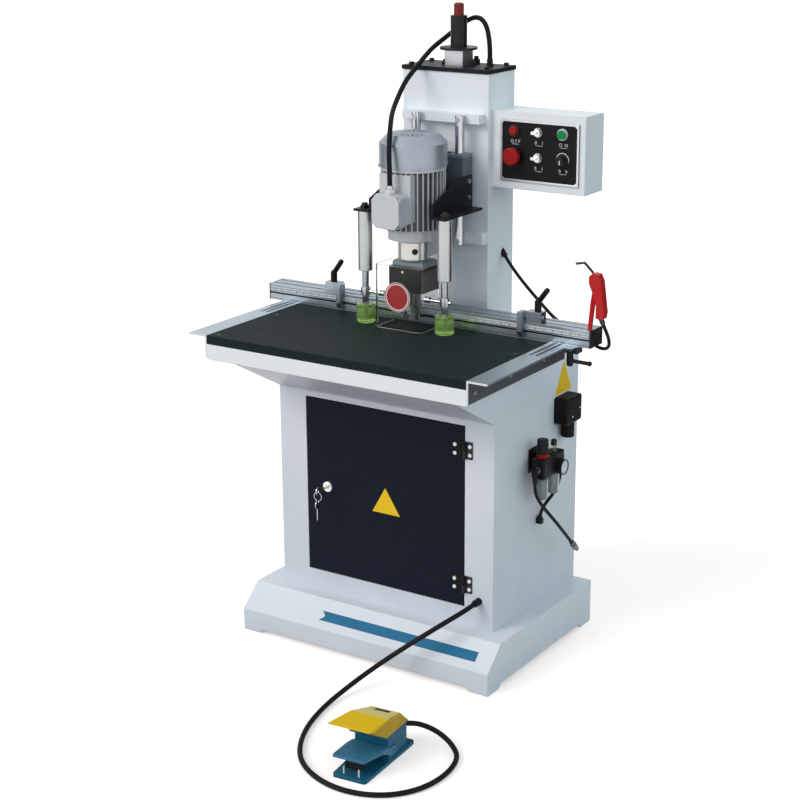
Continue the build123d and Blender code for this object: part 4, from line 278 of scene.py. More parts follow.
def soft_edges(tree, shader, radius, height, depth):
    """Rounds the edges for light, adds a fine relief, and gives the share of edge."""
    fold = tree.nodes.new("ShaderNodeBevel")
    fold.samples = 4
    fold.inputs["Radius"].default_value = radius
    bump = tree.nodes.new("ShaderNodeBump")
    bump.inputs["Strength"].default_value = 0.6
    bump.inputs["Distance"].default_value = depth
    tree.links.new(height, bump.inputs["Height"])
    tree.links.new(fold.outputs["Normal"], bump.inputs["Normal"])
    tree.links.new(bump.outputs["Normal"], shader.inputs["Normal"])
    flat = tree.nodes.new("ShaderNodeNewGeometry")
    meet = tree.nodes.new("ShaderNodeVectorMath")
    meet.operation = "DOT_PRODUCT"
    tree.links.new(fold.outputs["Normal"], meet.inputs[0])
    tree.links.new(flat.outputs["Normal"], meet.inputs[1])
    return remap(tree, meet.outputs["Value"], 1.0, 0.0, 0.75, 0.99)


def dress(name, coat):
    """Gives a piece of the drawing its finish."""
    node[name].data.materials.clear()
    node[name].data.materials.append(coat)


def enamel(name, colour, shade_below=None, light_above=None, shade_share=0.60):
    """Sprayed enamel, with painted shade that greys it low down and painted light that brightens it above a
    level.
    """
    coat, tree, shader, place = begin(name, 0.35)
    drift = patchy(tree, place, 2.5, 2.0, 0.0, 0.5)
    skin = lay_over(tree, drift, colour, shaded(colour, 0.97))
    edge = soft_edges(tree, shader, 0.0022, mottle(tree, place, 420, 3.0), 0.00022)
    wear = sums(tree, "MULTIPLY", edge, patchy(tree, place, 35, 4.0, 0.0, 0.5, 0.45, 0.7))
    skin = lay_over(tree, wear, skin, shaded(colour, 1.12))
    level = along(tree, place)[2]
    # Painted shade: below the given height the enamel is darkened and greyed, most at the floor.
    if shade_below is not None:
        low = remap(tree, level, shade_share, 0.0, 0.0, shade_below)
        low_shade = sums(tree, "MULTIPLY", low, patchy(tree, place, 9, 3.0, 0.75, 1.0, 0.35, 0.7))
        skin = lay_over(tree, low_shade, skin, tuple(part * share for part, share in zip(colour, LOW_SHADE_TINT)))
    # Painted light: above the given level the enamel is lightened, as on the cabinet's sloped apron.
    if light_above is not None:
        upper_light = remap(tree, level, 0.0, 0.8, light_above, light_above + 0.06)
        skin = lay_over(tree, upper_light, skin, shaded(colour, 1.13))
    paint(tree, shader, skin, patchy(tree, place, 18, 3.0, 0.34, 0.46))
    shader.inputs["Coat Weight"].default_value = 0.08
    shader.inputs["Coat Roughness"].default_value = 0.2
    return coat


PALE = (0.765, 0.788, 0.848)
# Grey tint of the painted shade low down on the enamel.
LOW_SHADE_TINT = (0.66, 0.70, 0.73)
dress("plinth", enamel("plinth_enamel", PALE, 0.16))


# Stripe: a band of teal film stuck flat on the plinth's sloped front, its left end cut to a swallow tail.
# It is left bare of any print, with a few rubbed specks.
def piece(name, source, coat, body):
    """A made piece that rides on one body."""
    made = stand(name, source, coat)
    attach(made, body)


def film(name, outline, lift, thick, coat, body):
    """A flat sheet from its corners, thickened away from the face that it is stuck on."""
    cut = bmesh.new()
    face = cut.faces.new([cut.verts.new(corner) for corner in outline])
    face.normal_update()
    if face.normal.dot(Vector(lift)) < 0:
        face.normal_flip()
    raised = bmesh.ops.extrude_face_region(cut, geom=[face])
    top = [part for part in raised["geom"] if isinstance(part, bmesh.types.BMVert)]
    bmesh.ops.translate(cut, verts=top, vec=Vector(lift).normalized() * thick)
    bmesh.ops.recalc_face_normals(cut, faces=cut.faces)
    piece(name, cut, coat, body)


def print_film(name, colour, rough):
    """Printed film or ink: a slow drift of colour and a few rubbed specks."""
    coat, tree, shader, place = begin(name, 0.25)
    drift = patchy(tree, place, 9, 3.0, 0.0, 0.3)
    skin = lay_over(tree, drift, colour, shaded(colour, 0.86))
    speck = patchy(tree, place, 260, 5.0, 0.0, 0.2, 0.62, 0.78)
    skin = lay_over(tree, speck, skin, shaded(colour, 1.5, 0.03))
    paint(tree, shader, skin, patchy(tree, place, 60, 3.0, rough - 0.06, rough + 0.08))
    soft_edges(tree, shader, 0.0004, mottle(tree, place, 700, 2.0), 0.00008)
    return coat


teal = print_film("teal_film", (0.007, 0.145, 0.285), 0.38)
SLOPE_FOOT_Y = -0.281
SLOPE_FOOT_Z = 0.061
SLOPE_RUN = 0.065
SLOPE_RISE = 0.060
FILM_GAP = 0.0002
FILM = 0.0003
slope_out = Vector((0, -SLOPE_RISE, SLOPE_RUN)).normalized()


def on_slope(x, z):
    """A point of the sloped front, a hair off the paint."""
    share = (z - SLOPE_FOOT_Z) / SLOPE_RISE
    return Vector((x, SLOPE_FOOT_Y + SLOPE_RUN * share, z)) + slope_out * FILM_GAP


stripe = [on_slope(x, z) for x, z in (
    (-0.148, 0.0775), (0.341, 0.0775), (0.341, 0.0965), (-0.148, 0.0965), (-0.134, 0.087))]
film("plinth_stripe", stripe, slope_out, FILM, teal, "frame")


# Cabinet: a welded steel shell that widens into a sloped apron under the table,
# in the same enamel as the plinth, with a plain yellow triangle of film on the door
# and another on the right wall.
# The cabinet's enamel gets painted shade low down and painted light above 0.70 m, on the sloped apron.
dress("cabinet", enamel("cabinet_enamel", PALE, 0.55, 0.70, 1.0))

yellow = print_film("yellow_film", (0.92, 0.58, 0.016), 0.38)
front_face = -0.1631
film("door_triangle", [(0.004, front_face, 0.453), (-0.037, front_face, 0.381), (0.050, front_face, 0.381)],
     (0, -1, 0), FILM, yellow, "door_leaf")
side_face = 0.3351
film("wall_triangle", [(side_face, 0.198, 0.766), (side_face, 0.152, 0.678), (side_face, 0.242, 0.678)],
     (1, 0, 0), FILM, yellow, "frame")


# Door: a dark blue-black pressed pan on two black leaf hinges, each leaf held by two bright button screws,
# with a chromed ring round the lock. The satin coat is a little worn on its rim.
def inside(tree, place, low, high):
    """One inside a box whose open sides are None, else nought."""
    axes = along(tree, place)
    share = None
    for axis in range(3):
        for bound, operation in ((low[axis], "GREATER_THAN"), (high[axis], "LESS_THAN")):
            if bound is not None:
                test = sums(tree, operation, axes[axis], bound)
                share = test if share is None else sums(tree, "MULTIPLY", share, test)
    return share


def by_place(tree, place, regions, skin, gloss, metal):
    """Changes colour, roughness and metal inside each box of a list."""
    for low, high, colour, rough, metallic in regions:
        share = inside(tree, place, low, high)
        skin = lay_over(tree, share, skin, colour)
        gloss = lay_value(tree, share, gloss, rough)
        metal = lay_value(tree, share, metal, metallic)
    return skin, gloss, metal


def layers(name, base, rough, metal, regions, gleam=0.2, peel=300, depth=0.0002, edge_colour=None):
    """A coat whose colour, gloss and metal change with the place on the piece."""
    coat, tree, shader, place = begin(name, gleam)
    skin = lay_over(tree, patchy(tree, place, 6, 3.0, 0.0, 0.6), base, shaded(base, 0.86))
    gloss = patchy(tree, place, 40, 4.0, rough - 0.06, rough + 0.08)
    edge = soft_edges(tree, shader, 0.0012, mottle(tree, place, peel, 3.0), depth)
    worn = sums(tree, "MULTIPLY", edge, patchy(tree, place, 90, 4.0, 0.1, 0.6, 0.4, 0.7))
    skin = lay_over(tree, worn, skin, edge_colour or shaded(base, 1.5, 0.02))
    paint(tree, shader, *by_place(tree, place, regions, skin, gloss, metal))
    return coat


BLACK = (0.010, 0.010, 0.012)
STEEL = (0.50, 0.52, 0.54)
CHROME = (0.78, 0.80, 0.82)
LEAF_FACE = -0.16305
SCREW_FACE = -0.16605
SCREW_HALF = 0.0055
hinge_regions = []
for foot in (0.2136, 0.5804):
    leaf = ((0.205, None, foot - 0.003), (0.29, LEAF_FACE, foot + 0.049))
    hinge_regions.append((*leaf, BLACK, 0.40, 0.0))
    for z in (foot + 0.0115, foot + 0.0345):
        for x in (0.2210, 0.2656):
            low = (x - SCREW_HALF, None, z - SCREW_HALF)
            high = (x + SCREW_HALF, SCREW_FACE, z + SCREW_HALF)
            hinge_regions.append((low, high, CHROME, 0.3, 0.35))
lock_ring = ((-0.196, None, 0.407), (-0.166, LEAF_FACE, 0.437), CHROME, 0.16, 1.0)
door_regions = hinge_regions + [lock_ring]
dress("door", layers("door_enamel", (0.0070, 0.0105, 0.0215), 0.44, 0.0, door_regions, gleam=0.07))


# Lock and keys: a plated cam lock with a cut key left in it, a wire ring and the spare key hanging from it.
# Plating is smooth, with faint smudges where fingers turn it.
def bright_metal(name, colour, rough, streak=(1, 1, 1), depth=0.00006, wear=0.35, regions=()):
    """Turned, drawn or plated metal: fine tool lines along one way, smudges and brighter edges."""
    coat, tree, shader, place = begin(name)
    lines = mottle(tree, place, 240, 4.0, streak)
    smudge = mottle(tree, place, 14, 4.0)
    skin = lay_over(tree, remap(tree, lines, 0.0, 0.4), colour, shaded(colour, 0.86))
    skin = lay_over(tree, remap(tree, smudge, 0.0, 0.10, 0.45, 0.75), skin, shaded(colour, 0.75))
    edge = soft_edges(tree, shader, 0.0007, lines, depth)
    skin = lay_over(tree, sums(tree, "MULTIPLY", edge, wear), skin, shaded(colour, 1.2))
    gloss = remap(tree, smudge, rough - 0.03, rough + 0.06)
    paint(tree, shader, *by_place(tree, place, regions, skin, gloss, 1.0))
    return coat


dress("door_key", bright_metal("key_plating", (0.66, 0.67, 0.68), 0.20))


# Table: a white pressed tray on the cabinet's deck, its enamel painted lighter than the cabinet's as
# painted light, and a thick black board on it.
# The board has a fine moulded grain that goes a little grey where work pieces slide over it.
# Painted light: the tray's enamel is the pale paint made lighter.
dress("table_tray", enamel("tray_enamel", (0.88, 0.90, 0.93)))
coat, tree, shader, place = begin("board_grain", 0.04)
pores = tree.nodes.new("ShaderNodeTexVoronoi")
pores.inputs["Scale"].default_value = 520
tree.links.new(place, pores.inputs["Vector"])
rubbed = remap(tree, mottle(tree, place, 5, 3.0, (1.0, 1.6, 1.0)), 0.0, 0.5, 0.3, 0.7)
strokes = remap(tree, mottle(tree, place, 60, 3.0, (0.06, 1.0, 1.0)), 0.0, 0.10, 0.56, 0.74)
skin = lay_over(tree, rubbed, (0.0140, 0.0225, 0.0235), (0.0160, 0.0255, 0.0265))
skin = lay_over(tree, strokes, skin, (0.030, 0.036, 0.037))
edge = soft_edges(tree, shader, 0.0016, pores.outputs["Distance"], 0.00022)
skin = lay_over(tree, sums(tree, "MULTIPLY", edge, 0.5), skin, (0.045, 0.050, 0.052))
paint(tree, shader, skin, patchy(tree, place, 24, 4.0, 0.54, 0.59))
dress("table_top", coat)


# Side rails: extruded aluminium angles screwed along the board's ends, sawn square and left bare,
# with die lines along their length, a dark grey web below painted as the shade under the flange, and a
# bright sawn front end.
DIE_LINES = (1.0, 0.02, 1.0)
rail_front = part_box("side_rails")[0][1]
dress("side_rails", bright_metal("rail_aluminium", (0.47, 0.545, 0.60), 0.36, DIE_LINES, 0.00009, regions=[
    # Painted shade: the web below the flange is painted dark.
    ((None, None, None), (None, None, 0.8607), (0.085, 0.10, 0.115), 0.42, 0.5),
    ((None, None, None), (None, rail_front + 0.0006, None), (0.70, 0.73, 0.75), 0.45, 0.3),
]))


# Fence: an anodised aluminium extrusion lying across the rails, with a thin printed scale along its front,
# a groove under it painted dark as shade, black moulded end caps and a dark clamp block under its right
# end.
coat, tree, shader, place = begin("fence_aluminium")
lines = mottle(tree, place, 260, 4.0, (0.02, 1.0, 1.0))
smudge = mottle(tree, place, 11, 4.0)
skin = lay_over(tree, remap(tree, lines, 0.0, 0.5), (0.38, 0.445, 0.50), (0.31, 0.36, 0.41))
left_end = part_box("fence_rail")[0][0]
right_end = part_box("fence_rail")[1][0]


def front_band(low, high):
    """A stripe along the fence's front face between two levels."""
    return inside(tree, place, (left_end + 0.004, None, low), (right_end - 0.004, 0.00805, high))


scale_strip = front_band(0.8925, 0.9045)
skin = lay_over(tree, scale_strip, skin, (0.55, 0.59, 0.61))
steps = along(tree, place)[0]
for pitch, share, foot in ((0.005, 0.34, 0.8968), (0.025, 0.10, 0.8945)):
    step = sums(tree, "FRACT", sums(tree, "DIVIDE", steps, pitch), 0.0)
    line = sums(tree, "MULTIPLY", sums(tree, "LESS_THAN", step, share), front_band(foot, 0.9002))
    skin = lay_over(tree, line, skin, (0.035, 0.038, 0.042))
for low, high in ((0.8915, 0.8928), (0.9042, 0.9055), (0.8700, 0.8716)):
    skin = lay_over(tree, front_band(low, high), skin, (0.12, 0.135, 0.15))
# Painted shade: the groove under the scale is painted dark.
groove = inside(tree, place, (None, 0.0085, 0.8832), (None, 0.0125, 0.8888))
skin = lay_over(tree, groove, skin, (0.03, 0.032, 0.036))
metal = lay_value(tree, scale_strip, 0.9, 0.0)
gloss = lay_value(tree, scale_strip, remap(tree, smudge, 0.30, 0.42), 0.45)
dark_parts = [
    ((None, None, 0.8655), (left_end + 0.00395, None, None), BLACK),
    ((right_end - 0.00405, None, 0.8655), (None, None, None), BLACK),
    ((0.43, None, None), (0.48, None, 0.8659), (0.045, 0.05, 0.055)),
]
for low, high, colour in dark_parts:
    share = inside(tree, place, low, high)
    skin = lay_over(tree, share, skin, colour)
    metal = lay_value(tree, share, metal, 0.0)
    gloss = lay_value(tree, share, gloss, 0.45)
soft_edges(tree, shader, 0.0008, lines, 0.00008)
paint(tree, shader, skin, gloss, metal)
dress("fence_rail", coat)


# Stops: milled aluminium blocks keyed into the fence's top, each with a finger on a pin in front,
# and a black clamp lever with a raked handle on its stud.
for name in ("stop_left", "stop_right"):
    dress(name, bright_metal(name + "_aluminium", (0.37, 0.42, 0.465), 0.32, (0.05, 1.0, 1.0), 0.00008))


def moulding(name, colour, rough, grain=900, depth=0.00012):
    """Moulded plastic: spark-eroded grain, a slow change of shine and paler rubbed edges."""
    coat, tree, shader, place = begin(name, 0.15)
    tone = patchy(tree, place, 22, 3.0, 0.0, 0.5)
    skin = lay_over(tree, tone, colour, shaded(colour, 0.82))
    edge = soft_edges(tree, shader, 0.0012, mottle(tree, place, grain, 2.0), depth)
    rub = sums(tree, "MULTIPLY", edge, patchy(tree, place, 120, 4.0, 0.1, 0.5, 0.4, 0.7))
    skin = lay_over(tree, rub, skin, shaded(colour, 1.4, 0.02))
    paint(tree, shader, skin, patchy(tree, place, 50, 4.0, rough - 0.05, rough + 0.09))
    return coat


lever_black = moulding("lever_black", (0.010, 0.010, 0.011), 0.38)
for name in ("stop_lever_left", "stop_lever_right", "fence_lever"):
    dress(name, lever_black)


# Blow gun: a red moulded grip hung on the fence's end, with a red trigger strip,
# a thin black bent nozzle with a bare tip, and a dark fitting at its foot.
dress("blow_gun", layers("gun_red", (0.54, 0.012, 0.012), 0.34, 0.0, [
    ((None, None, None), (0.4955, None, None), BLACK, 0.35, 0.2),
    ((None, 0.0215, 1.0495), (0.5025, 0.0285, None), BLACK, 0.35, 0.2),
    ((None, 0.0215, 1.0575), (None, 0.0285, None), BLACK, 0.35, 0.2),
    ((None, None, None), (0.4795, None, None), (0.07, 0.07, 0.075), 0.3, 0.6),
    ((None, None, None), (None, None, 0.9425), (0.05, 0.05, 0.052), 0.35, 0.6),
], gleam=0.3, peel=700, depth=0.00012, edge_colour=(0.72, 0.05, 0.04)))
dress("gun_lever", moulding("trigger_red", (0.56, 0.013, 0.013), 0.34))


# Column: a square steel tube in pale enamel, standing on the deck behind the table,
# under a black plate that is held down by a black hexagon bolt at each corner.
dress("column", enamel("column_enamel", (0.83, 0.86, 0.90)))
dress("column_top_plate", layers("plate_black", (0.012, 0.013, 0.016), 0.45, 0.0, [], gleam=0.12))


# Guide rods: ground and hard-chromed bars, each cross-screwed to the pads on the column's face.
# The frame's bolts are black above, and the hinge leaves on the cabinet match those on the door.
GROUND = (1.0, 1.0, 14.0)
dress("guide_rods", bright_metal("rod_chrome", (0.53, 0.56, 0.59), 0.07, GROUND, 0.00001, 0.2))
dress("frame_bolts", layers("fastener_steel", (0.42, 0.43, 0.45), 0.32, 1.0, [
    ((None, None, 1.50), (None, None, None), BLACK, 0.36, 0.3),
    ((None, None, 0.855), (None, None, 0.868), (0.03, 0.03, 0.032), 0.40, 0.6),
] + hinge_regions, gleam=0.3))


# Feed: an aluminium barrel inside the column and its square end block on the plate,
# then the black disc, tube and dark red cap that set the depth.
UPRIGHT_LINES = (1.0, 1.0, 0.05)
end_block = bright_metal("end_block_aluminium", (0.56, 0.59, 0.61), 0.32, UPRIGHT_LINES, 0.00008)
dress("feed_cylinder", end_block)
dress("depth_adjuster", layers("adjuster_black", (0.011, 0.011, 0.012), 0.36, 0.0, [
    ((None, None, 1.6462), (None, None, None), (0.20, 0.014, 0.014), 0.34, 0.0),
], gleam=0.25, peel=400, depth=0.0001))


# Carriage: two cast bearing blocks in blue-grey paint on the rods, with the plate between them,
# and a bright piston rod that runs up into the barrel.
dress("carriage", layers("carriage_grey", (0.108, 0.137, 0.155), 0.42, 0.1, [
    ((None, None, 1.2972), (None, 0.15, None), (0.20, 0.235, 0.255), 0.45, 0.1),
    ((-0.0275, 0.175, None), (0.0275, 0.24, 1.23), STEEL, 0.28, 1.0),
    ((-0.0275, 0.175, 1.25), (0.0275, 0.24, None), STEEL, 0.28, 1.0),
], gleam=0.3, edge_colour=(0.27, 0.31, 0.33)))


# Head bracket: black laser-cut gussets with a flange on each side,
# bolted to the bearing blocks with small dark socket screws.
SOCKET_STEEL = (0.30, 0.31, 0.32)
dress("head_bracket", layers("bracket_black", (0.011, 0.012, 0.015), 0.42, 0.0, [
    ((0.0981, 0.0885, 1.185), (None, None, None), SOCKET_STEEL, 0.3, 1.0),
    ((None, 0.0885, 1.185), (-0.0981, None, None), SOCKET_STEEL, 0.3, 1.0),
], gleam=0.14))


# Motor: a finned die-cast housing in silver paint under a pressed fan cowl with a fine grille on top,
# and on its front a terminal box with a chamfered lid and a steel cable gland.
def from_centre(tree, place, centre):
    """The place measured from a centre."""
    shift = tree.nodes.new("ShaderNodeMapping")
    shift.inputs["Location"].default_value = tuple(-part for part in centre)
    tree.links.new(place, shift.inputs["Vector"])
    return shift.outputs["Vector"]


def reach(tree, place, centre, axis):
    """How far a point is from a line through a centre along one axis."""
    axes = along(tree, from_centre(tree, place, centre))
    flat = tree.nodes.new("ShaderNodeCombineXYZ")
    for side in range(3):
        if side != axis:
            tree.links.new(axes[side], flat.inputs[side])
    size = tree.nodes.new("ShaderNodeVectorMath")
    size.operation = "LENGTH"
    tree.links.new(flat.outputs[0], size.inputs[0])
    return size.outputs["Value"]


MOTOR_AXIS = (0.0, -0.0145, 0.0)


def cast_silver(name, colour, regions=(), fin_shade=None, sheen=0.25):
    """Silver paint over a casting, with painted highlights along its edges and painted shade at the fin
    roots within a reach of the motor's axis.
    """
    coat, tree, shader, place = begin(name, 0.4)
    flow = mottle(tree, place, 55, 5.0)
    skin = lay_over(tree, remap(tree, flow, 0.0, 0.5), colour, shaded(colour, 0.90))
    gloss = patchy(tree, place, 30, 4.0, 0.36, 0.46)
    edge = soft_edges(tree, shader, 0.0010, mottle(tree, place, 320, 4.0), 0.00014)
    # Painted highlight: every edge is lightened evenly.
    skin = lay_over(tree, sums(tree, "MULTIPLY", edge, 0.5), skin, shaded(colour, 1.35))
    if fin_shade is not None:
        near, far, low, high = fin_shade
        # Painted shade: the roots between the fins, near the motor's axis, are darkened.
        root_shade = remap(tree, reach(tree, place, MOTOR_AXIS, 2), 1.0, 0.0, near, far)
        root_shade = sums(tree, "MULTIPLY", root_shade, inside(tree, place, (None, None, low), (None, None, high)))
        skin = lay_over(tree, root_shade, skin, shaded(colour, 0.22))
    paint(tree, shader, *by_place(tree, place, regions, skin, gloss, sheen))
    return coat


FIN_ROOTS = (0.0735, 0.0825, 1.127, 1.2855)
GLAND_HEIGHT = 0.020
dress("motor_housing", cast_silver("housing_silver", (0.56, 0.58, 0.60), fin_shade=FIN_ROOTS))
gland_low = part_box("terminal_box")[1][2] - GLAND_HEIGHT
dress("terminal_box", cast_silver("terminal_silver", (0.58, 0.59, 0.63), [
    ((None, None, gland_low), (None, None, None), (0.52, 0.54, 0.55), 0.3, 0.9)]))
dress("fan_cowl", cast_silver("cowl_silver", (0.36, 0.405, 0.47), sheen=0.8))
dress("rotor", bright_metal("rotor_steel", (0.40, 0.40, 0.41), 0.35))


# Drive: a bright turned collar that clamps the motor's neck, the dark cast gearbox with its lighter lid
# under it, and the carbide cup bit between two side bits in their chucks.
coat, tree, shader, place = begin("collar_steel")
rings = mottle(tree, place, 240, 4.0, (1.0, 1.0, 8.0))
skin = lay_over(tree, remap(tree, rings, 0.0, 0.35), (0.66, 0.66, 0.63), (0.56, 0.56, 0.54))
# Painted shade: the collar's bore round the motor's neck is painted near black.
bore_shade = remap(tree, reach(tree, place, MOTOR_AXIS, 2), 1.0, 0.0, 0.0400, 0.0416)
bore_shade = sums(tree, "MULTIPLY", bore_shade, inside(tree, place, (0.012, None, 1.052), (0.042, -0.030, 1.083)))
skin = lay_over(tree, bore_shade, skin, (0.015, 0.014, 0.013))
edge = soft_edges(tree, shader, 0.0008, rings, 0.00003)
skin = lay_over(tree, sums(tree, "MULTIPLY", edge, 0.4), skin, (0.86, 0.86, 0.84))
paint(tree, shader, skin, patchy(tree, place, 20, 3.0, 0.20, 0.30), 0.8)
dress("spindle_collar", coat)
dress("gearbox", layers("gearbox_black", (0.017, 0.018, 0.016), 0.38, 0.1, [
    ((None, None, 1.0248), (None, None, None), (0.20, 0.235, 0.26), 0.36, 0.3),
    ((-0.011, None, 1.000), (-0.001, -0.05705, 1.018), (0.62, 0.60, 0.52), 0.25, 1.0),
], gleam=0.14, peel=160, depth=0.0003, edge_colour=(0.09, 0.09, 0.085)))
bit_steel = bright_metal("bit_steel", (0.30, 0.31, 0.32), 0.28, (1.0, 1.0, 8.0), 0.00006)
for name in ("hinge_bit", "side_spindle_left", "side_spindle_right"):
    dress(name, bit_steel)


# Hold-downs: pale anodised barrels hung from the flanges by black nuts, steel rods with brighter collars,
# thick clear green feet that press the work without marking it, and a red disc on the guard's front.
def between(tree, value, low, high):
    """One where a value lies between two others, else nought."""
    above = sums(tree, "GREATER_THAN", value, low)
    return sums(tree, "MULTIPLY", above, sums(tree, "LESS_THAN", value, high))


nuts = ((None, None, 1.1705), (None, None, None), BLACK, 0.36, 0.2)
TURNED = (1.0, 1.0, 6.0)
barrels = bright_metal("barrel_anodised", (0.50, 0.53, 0.54), 0.30, TURNED, 0.00001, 0.0, [nuts])
dress("hold_down_barrels", barrels)
coat, tree, shader, place = begin("hold_rod_steel")
draw = mottle(tree, place, 240, 4.0, GROUND)
skin = lay_over(tree, remap(tree, draw, 0.0, 0.4), (0.36, 0.39, 0.42), (0.29, 0.31, 0.34))
for low, high in ((0.936, 0.9605), (0.9155, 0.9205)):
    collar = inside(tree, place, (None, None, low), (None, None, high))
    skin = lay_over(tree, collar, skin, (0.58, 0.61, 0.63))
disc = inside(tree, place, (None, None, 0.90), (None, -0.0929, 1.01))
away = reach(tree, place, (0.0, 0.0, 0.954), 1)
ring = between(tree, away, 0.0325, 0.0352)
rim = sums(tree, "GREATER_THAN", away, 0.0377)
print_tone = patchy(tree, place, 70, 3.0, 0.0, 0.5)
red_print = lay_over(tree, print_tone, (0.36, 0.020, 0.022), (0.30, 0.017, 0.018))
red_print = lay_over(tree, sums(tree, "MAXIMUM", ring, rim), red_print, (0.80, 0.80, 0.79))
skin = lay_over(tree, disc, skin, red_print)
soft_edges(tree, shader, 0.0006, draw, 0.00001)
gloss = lay_value(tree, disc, patchy(tree, place, 20, 3.0, 0.12, 0.20), 0.45)
paint(tree, shader, skin, gloss, sums(tree, "SUBTRACT", 1.0, disc))
dress("hold_down_rods", coat)


def clear_plastic(name, colour, rough, ior, clearness, edge_share):
    """Cast or moulded clear plastic with faint waviness, its edges painted paler and less clear as a
    painted edge glow.
    """
    coat, tree, shader, place = begin(name)
    edge = soft_edges(tree, shader, 0.0014, mottle(tree, place, 26, 2.0), 0.0002)
    # Painted highlight: the edges are lightened and made less clear, as an edge glow.
    skin = lay_over(tree, edge, colour, shaded(colour, 1.1, 0.04))
    paint(tree, shader, skin, patchy(tree, place, 45, 3.0, rough, rough + 0.05))
    shown = remap(tree, edge, clearness, clearness - edge_share, 0.0, 1.0)
    tree.links.new(shown, shader.inputs["Transmission Weight"])
    shader.inputs["IOR"].default_value = ior
    return coat


dress("hold_down_feet", clear_plastic("foot_green", (0.70, 1.0, 0.36), 0.03, 1.22, 0.86, 0.45))
dress("drill_guard", clear_plastic("guard_acrylic", (0.97, 0.99, 0.98), 0.0, 1.18, 1.0, 0.45))


# Control box: a folded steel box on the column's right side, with a black panel in a thin bright frame,
# a lamp, two selectors, a start button, a mushroom stop and a timer knob with a white arc.
dress("control_box", enamel("box_enamel", (0.84, 0.87, 0.90)))
LEFT_X = 0.2005
RIGHT_X = 0.3405
UPPER_Z = 1.368
LOWER_Z = 1.303
coat, tree, shader, place = begin("panel_black", 0.12)
tone = patchy(tree, place, 22, 3.0, 0.0, 0.5)
skin = lay_over(tree, tone, (0.009, 0.009, 0.010), (0.007, 0.007, 0.008))
arc = between(tree, reach(tree, place, (RIGHT_X, 0.0, LOWER_Z), 1), 0.0168, 0.0186)
arc = sums(tree, "MULTIPLY", arc, inside(tree, place, (None, None, 1.296), (None, None, None)))
skin = lay_over(tree, arc, skin, (0.80, 0.81, 0.80))
paint(tree, shader, skin, patchy(tree, place, 50, 4.0, 0.34, 0.46))
soft_edges(tree, shader, 0.0008, mottle(tree, place, 1200, 2.0), 0.00005)
dress("control_panel", coat)
ring_regions = [
    ((x - side, None, z - side), (x + side, None, z + side), colour, rough, metallic)
    for x, z, side, colour, rough, metallic in (
        (LEFT_X, UPPER_Z, 0.0165, (0.030, 0.012, 0.012), 0.4, 0.0),
        (LEFT_X, LOWER_Z, 0.0245, (0.16, 0.010, 0.010), 0.4, 0.0),
        (RIGHT_X, UPPER_Z, 0.0165, (0.55, 0.66, 0.58), 0.35, 0.2),
        (RIGHT_X, LOWER_Z, 0.0165, (0.020, 0.020, 0.021), 0.4, 0.0),
    )
]
dress("panel_trim", bright_metal("frame_aluminium", (0.66, 0.68, 0.70), 0.28, regions=ring_regions))
dress("indicator_lamp", moulding("lamp_red", (0.36, 0.010, 0.012), 0.18, 500, 0.00005))
dress("estop", moulding("stop_red", (0.35, 0.009, 0.011), 0.30, 700, 0.00005))
dress("start_button", moulding("start_green", (0.012, 0.25, 0.085), 0.24, 700, 0.00005))
for name in ("selector_upper", "selector_lower"):
    dress(name, bright_metal(name + "_chrome", (0.78, 0.79, 0.80), 0.24, regions=[
        ((None, 0.1456, None), (None, None, None), (0.02, 0.02, 0.021), 0.4, 0.0)]))
timer_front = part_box("timer_knob")[0][1]
dress("timer_knob", layers("timer_black", (0.012, 0.012, 0.013), 0.36, 0.0, [
    ((0.3392, None, 1.2930), (0.3418, timer_front + 0.0004, 1.3040), (0.82, 0.82, 0.80), 0.5, 0.0)]))


# Panel print: plain words and figures under the controls, each over a thin line,
# screened on in white and as thick as a coat of ink.
PANEL_FACE = 0.1555
INK = 0.00012
INK_GAP = 0.00001
LETTER_HEIGHT = 0.0120
LINE_LENGTH = 0.020
LINE_WIDTH = 0.0010
LINE_DROP = 0.0034
white_ink = print_film("white_ink", (0.72, 0.73, 0.73), 0.5)


def settled(made):
    """The mesh that letters or a line come to."""
    bpy.context.view_layer.update()
    return bpy.data.meshes.new_from_object(made.evaluated_get(bpy.context.evaluated_depsgraph_get()))


def panel_words(name, words, x, z):
    """One word with the line under it, as a piece on the panel."""
    letters = bpy.data.curves.new(name + "_letters", "FONT")
    letters.body = words
    letters.size = LETTER_HEIGHT
    letters.align_x = "CENTER"
    letters.extrude = INK
    typed = bpy.data.objects.new(name + "_letters", letters)
    bpy.context.scene.collection.objects.link(typed)
    flat = settled(typed)
    bpy.data.objects.remove(typed)
    ink = bmesh.new()
    ink.from_mesh(flat)
    bpy.data.meshes.remove(flat)
    line = bmesh.ops.create_cube(ink, size=1.0)["verts"]
    bmesh.ops.scale(ink, vec=(LINE_LENGTH, LINE_WIDTH, 2 * INK), verts=line)
    bmesh.ops.translate(ink, vec=(0, -LINE_DROP, 0), verts=line)
    bmesh.ops.rotate(ink, cent=ORIGIN, matrix=UPRIGHT, verts=ink.verts)
    bmesh.ops.translate(ink, vec=(x, PANEL_FACE - INK - INK_GAP, z), verts=ink.verts)
    piece(name, ink, white_ink, "frame")


panel_words("stop_words", "O F F", 0.2035, 1.3370)
panel_words("upper_words", "0    1", 0.2725, 1.3370)
panel_words("start_words", "O  N", 0.3425, 1.3370)
panel_words("lower_words", "0    1", 0.2725, 1.2715)
panel_words("timer_words", "0    9", 0.3425, 1.2700)


# Mains inlet: a black moulded box on the right wall with two bright cover screws,
# a coarse moulded grain and a round socket that points down.
dress("inlet_box", layers("inlet_black", (0.009, 0.009, 0.010), 0.46, 0.0, [
    ((0.37505, None, 0.605), (None, None, 0.672), CHROME, 0.25, 1.0)], gleam=0.1, peel=600, depth=0.00025))


